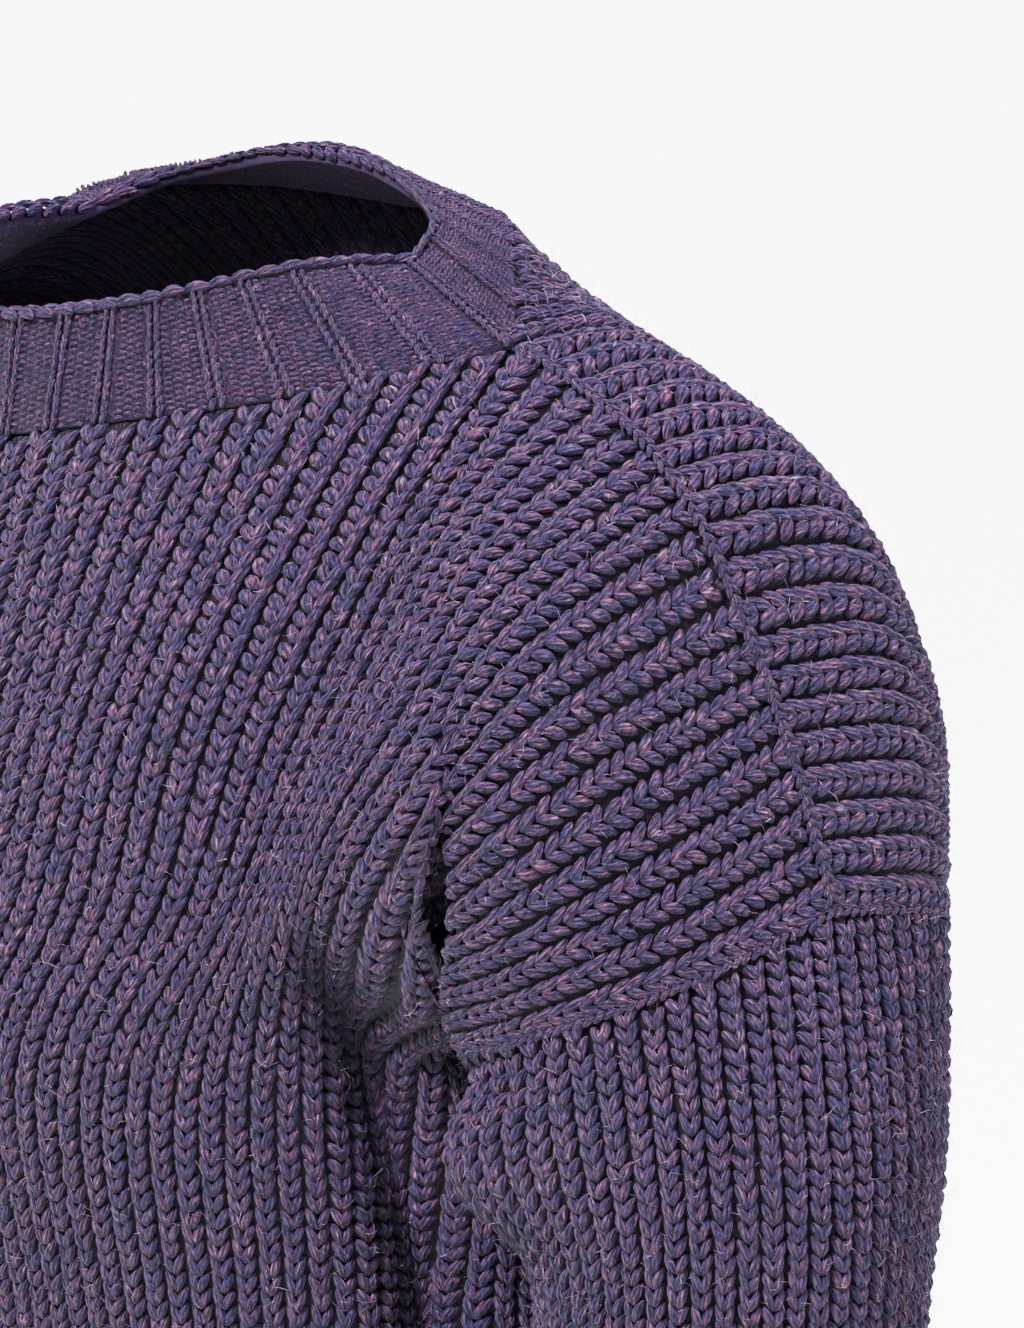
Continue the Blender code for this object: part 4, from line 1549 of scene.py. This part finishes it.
@dataclass(frozen=True)
class Studio:
    """The pale floor, the soft light and the camera.

    The camera's own directions are right, up and back. In centimetres, it stands off from the
    neckband's left corner by the distance, and is shifted right and up.
    """

    right: tuple = (0.5736, 0.8192, 0.0)
    up: tuple = (-0.1422, 0.0996, 0.9848)
    back: tuple = (0.8067, -0.5649, 0.1736)
    corner: tuple = (7.5, 0.0, 0.0)
    distance: float = 200.0
    shift: tuple = (2.5, -10.05)
    lens: float = 216.87

    def light(self, lamp: Lamp) -> None:
        """Adds an area light.

        Args:
            lamp: What it is like.
        """
        data = bpy.data.lights.new(lamp.name, "AREA")
        data.size, data.energy, data.color = lamp.size, lamp.watts, lamp.color
        obj = placed(lamp.name, data)
        obj.location = lamp.where
        aim = Vector(lamp.aim) - Vector(lamp.where)
        obj.rotation_euler = aim.to_track_quat("-Z", "Y").to_euler()

    def camera(self) -> None:
        """Adds the camera."""
        right, up, back = (np.array(a) for a in (self.right, self.up, self.back))
        eye = np.array(self.corner) + self.distance * back + self.shift[0] * right + self.shift[1] * up
        camera = bpy.data.cameras.new("camera")
        camera.lens, camera.sensor_width = self.lens, 36.0
        camera.clip_start, camera.clip_end = 0.05, 200.0
        obj = placed("camera", camera)
        obj.location = eye * CM
        obj.rotation_euler = Vector(-back).to_track_quat("-Z", "Y").to_euler()
        bpy.context.scene.camera = obj

    def floor(self) -> None:
        """Adds the floor, which glows but does not light the wool."""
        bm = bmesh.new()
        bmesh.ops.create_circle(bm, cap_ends=True, radius=FLOOR_RADIUS, segments=64)
        mesh = bpy.data.meshes.new("floor")
        bm.to_mesh(mesh)
        bm.free()
        floor = placed("floor", mesh)
        floor.location = (0.0, 0.0, CAD_BOX[0].z - FLOOR_GAP)
        floor.visible_diffuse = False
        paint = bpy.data.materials.new("floor_paint")
        paint.use_nodes = True
        shader = paint.node_tree.nodes["Principled BSDF"]
        shader.inputs["Base Color"].default_value = (FLOOR_SHADE, FLOOR_SHADE, FLOOR_SHADE, 1.0)
        shader.inputs["Roughness"].default_value = 0.9
        shader.inputs["Specular IOR Level"].default_value = 0.1
        shader.inputs["Emission Color"].default_value = (1.0, 1.0, 1.0, 1.0)
        shader.inputs["Emission Strength"].default_value = FLOOR_GLOW
        mesh.materials.append(paint)

    def sky(self) -> None:
        """Makes the world, brighter above than below."""
        world = bpy.data.worlds.new("studio")
        world.use_nodes = True
        g = Graph(world.node_tree)
        height = g.split(g.node("TexCoord").outputs["Generated"])[2]
        g.put(world.node_tree.nodes["Background"].inputs["Strength"],
              g.remap(height, *SKY_RISE, *SKY_STRENGTH))
        bpy.context.scene.world = world

    def build(self) -> None:
        """Makes floor, lights, world and camera."""
        self.camera()
        self.floor()
        self.sky()
        for lamp in LAMPS:
            self.light(lamp)


def main() -> None:
    """Builds the sweater and its studio."""
    Studio().build()
    garment = Garment({kind: wool_material(kind) for kind in Wool}, [])
    yarn = []

    front = BodyPiece("front", FRONT, (0.50, 0.58), yarn_ribs=(-35.5, 35.5), yarn_reach=99.0)
    back = BodyPiece("back", BACK, (0.50, 0.62), yarn_ribs=(9.5, 35.5), yarn_reach=9.5)
    for piece in (front, back):
        cloth = garment.own(piece.cloth(), Wool.CLOTH, "wool_rib", piece.name)
        laid = []
        for seed, (name, stations, leg) in enumerate(piece.stitches()):
            made = yarn_object(name, stations, (leg, leg.mirrored()), 11 + seed)
            laid.append(garment.own(made, Wool.YARN, "wool_rib"))
            if leg is FINE_LEG:
                yarn.append(stations)

    for name, surface, detailed in (("sleeve_left", SLEEVE, True), ("sleeve_right", SLEEVE_RIGHT, False)):
        piece = SleevePiece(name, surface, detailed)
        cloth = garment.own(piece.cloth(), Wool.CLOTH, "wool_rib", name)
        laid = []
        if detailed:
            stations = piece.stitches()
            made = yarn_object(name + "_yarn", stations, (FINE_LEG, FINE_LEG.mirrored()), 31)
            laid.append(garment.own(made, Wool.YARN, "wool_rib"))
            yarn.append(stations)

    band = Neckband()
    cloth = garment.own(band.cloth(), Wool.BAND, "wool_band", "neckband")
    purl = yarn_object("neckband_purl", band.purl(), (PURL,), 41, jitter=0.8, unit_pitch=0.85)
    knit = yarn_object("neckband_knit", band.knit(), (BAND_LEG,), 42, jitter=0.6)
    rim = yarn_object("neckband_rim", band.rim(), (CHAIN_LEG, CHAIN_LEG.mirrored()), 43, jitter=0.8)
    laid = [garment.own(purl, Wool.BAND, "wool_band"), garment.own(knit, Wool.YARN, "wool_band"),
            garment.own(rim, Wool.YARN, "wool_band")]
    seams = yarn_object("seams", seam_stations(), (SEAM_LEG, SEAM_LEG.mirrored()), 44, jitter=0.8)
    garment.own(seams, Wool.YARN, "wool_rib")
    garment.own(fuzz_object("stray_fibres", Stations.join(yarn), FIBRES, 45), Wool.HAIR, "wool_rib")

    LOG.info("pieces: %d", len(garment.made))


if __name__ == "__main__":
    main()
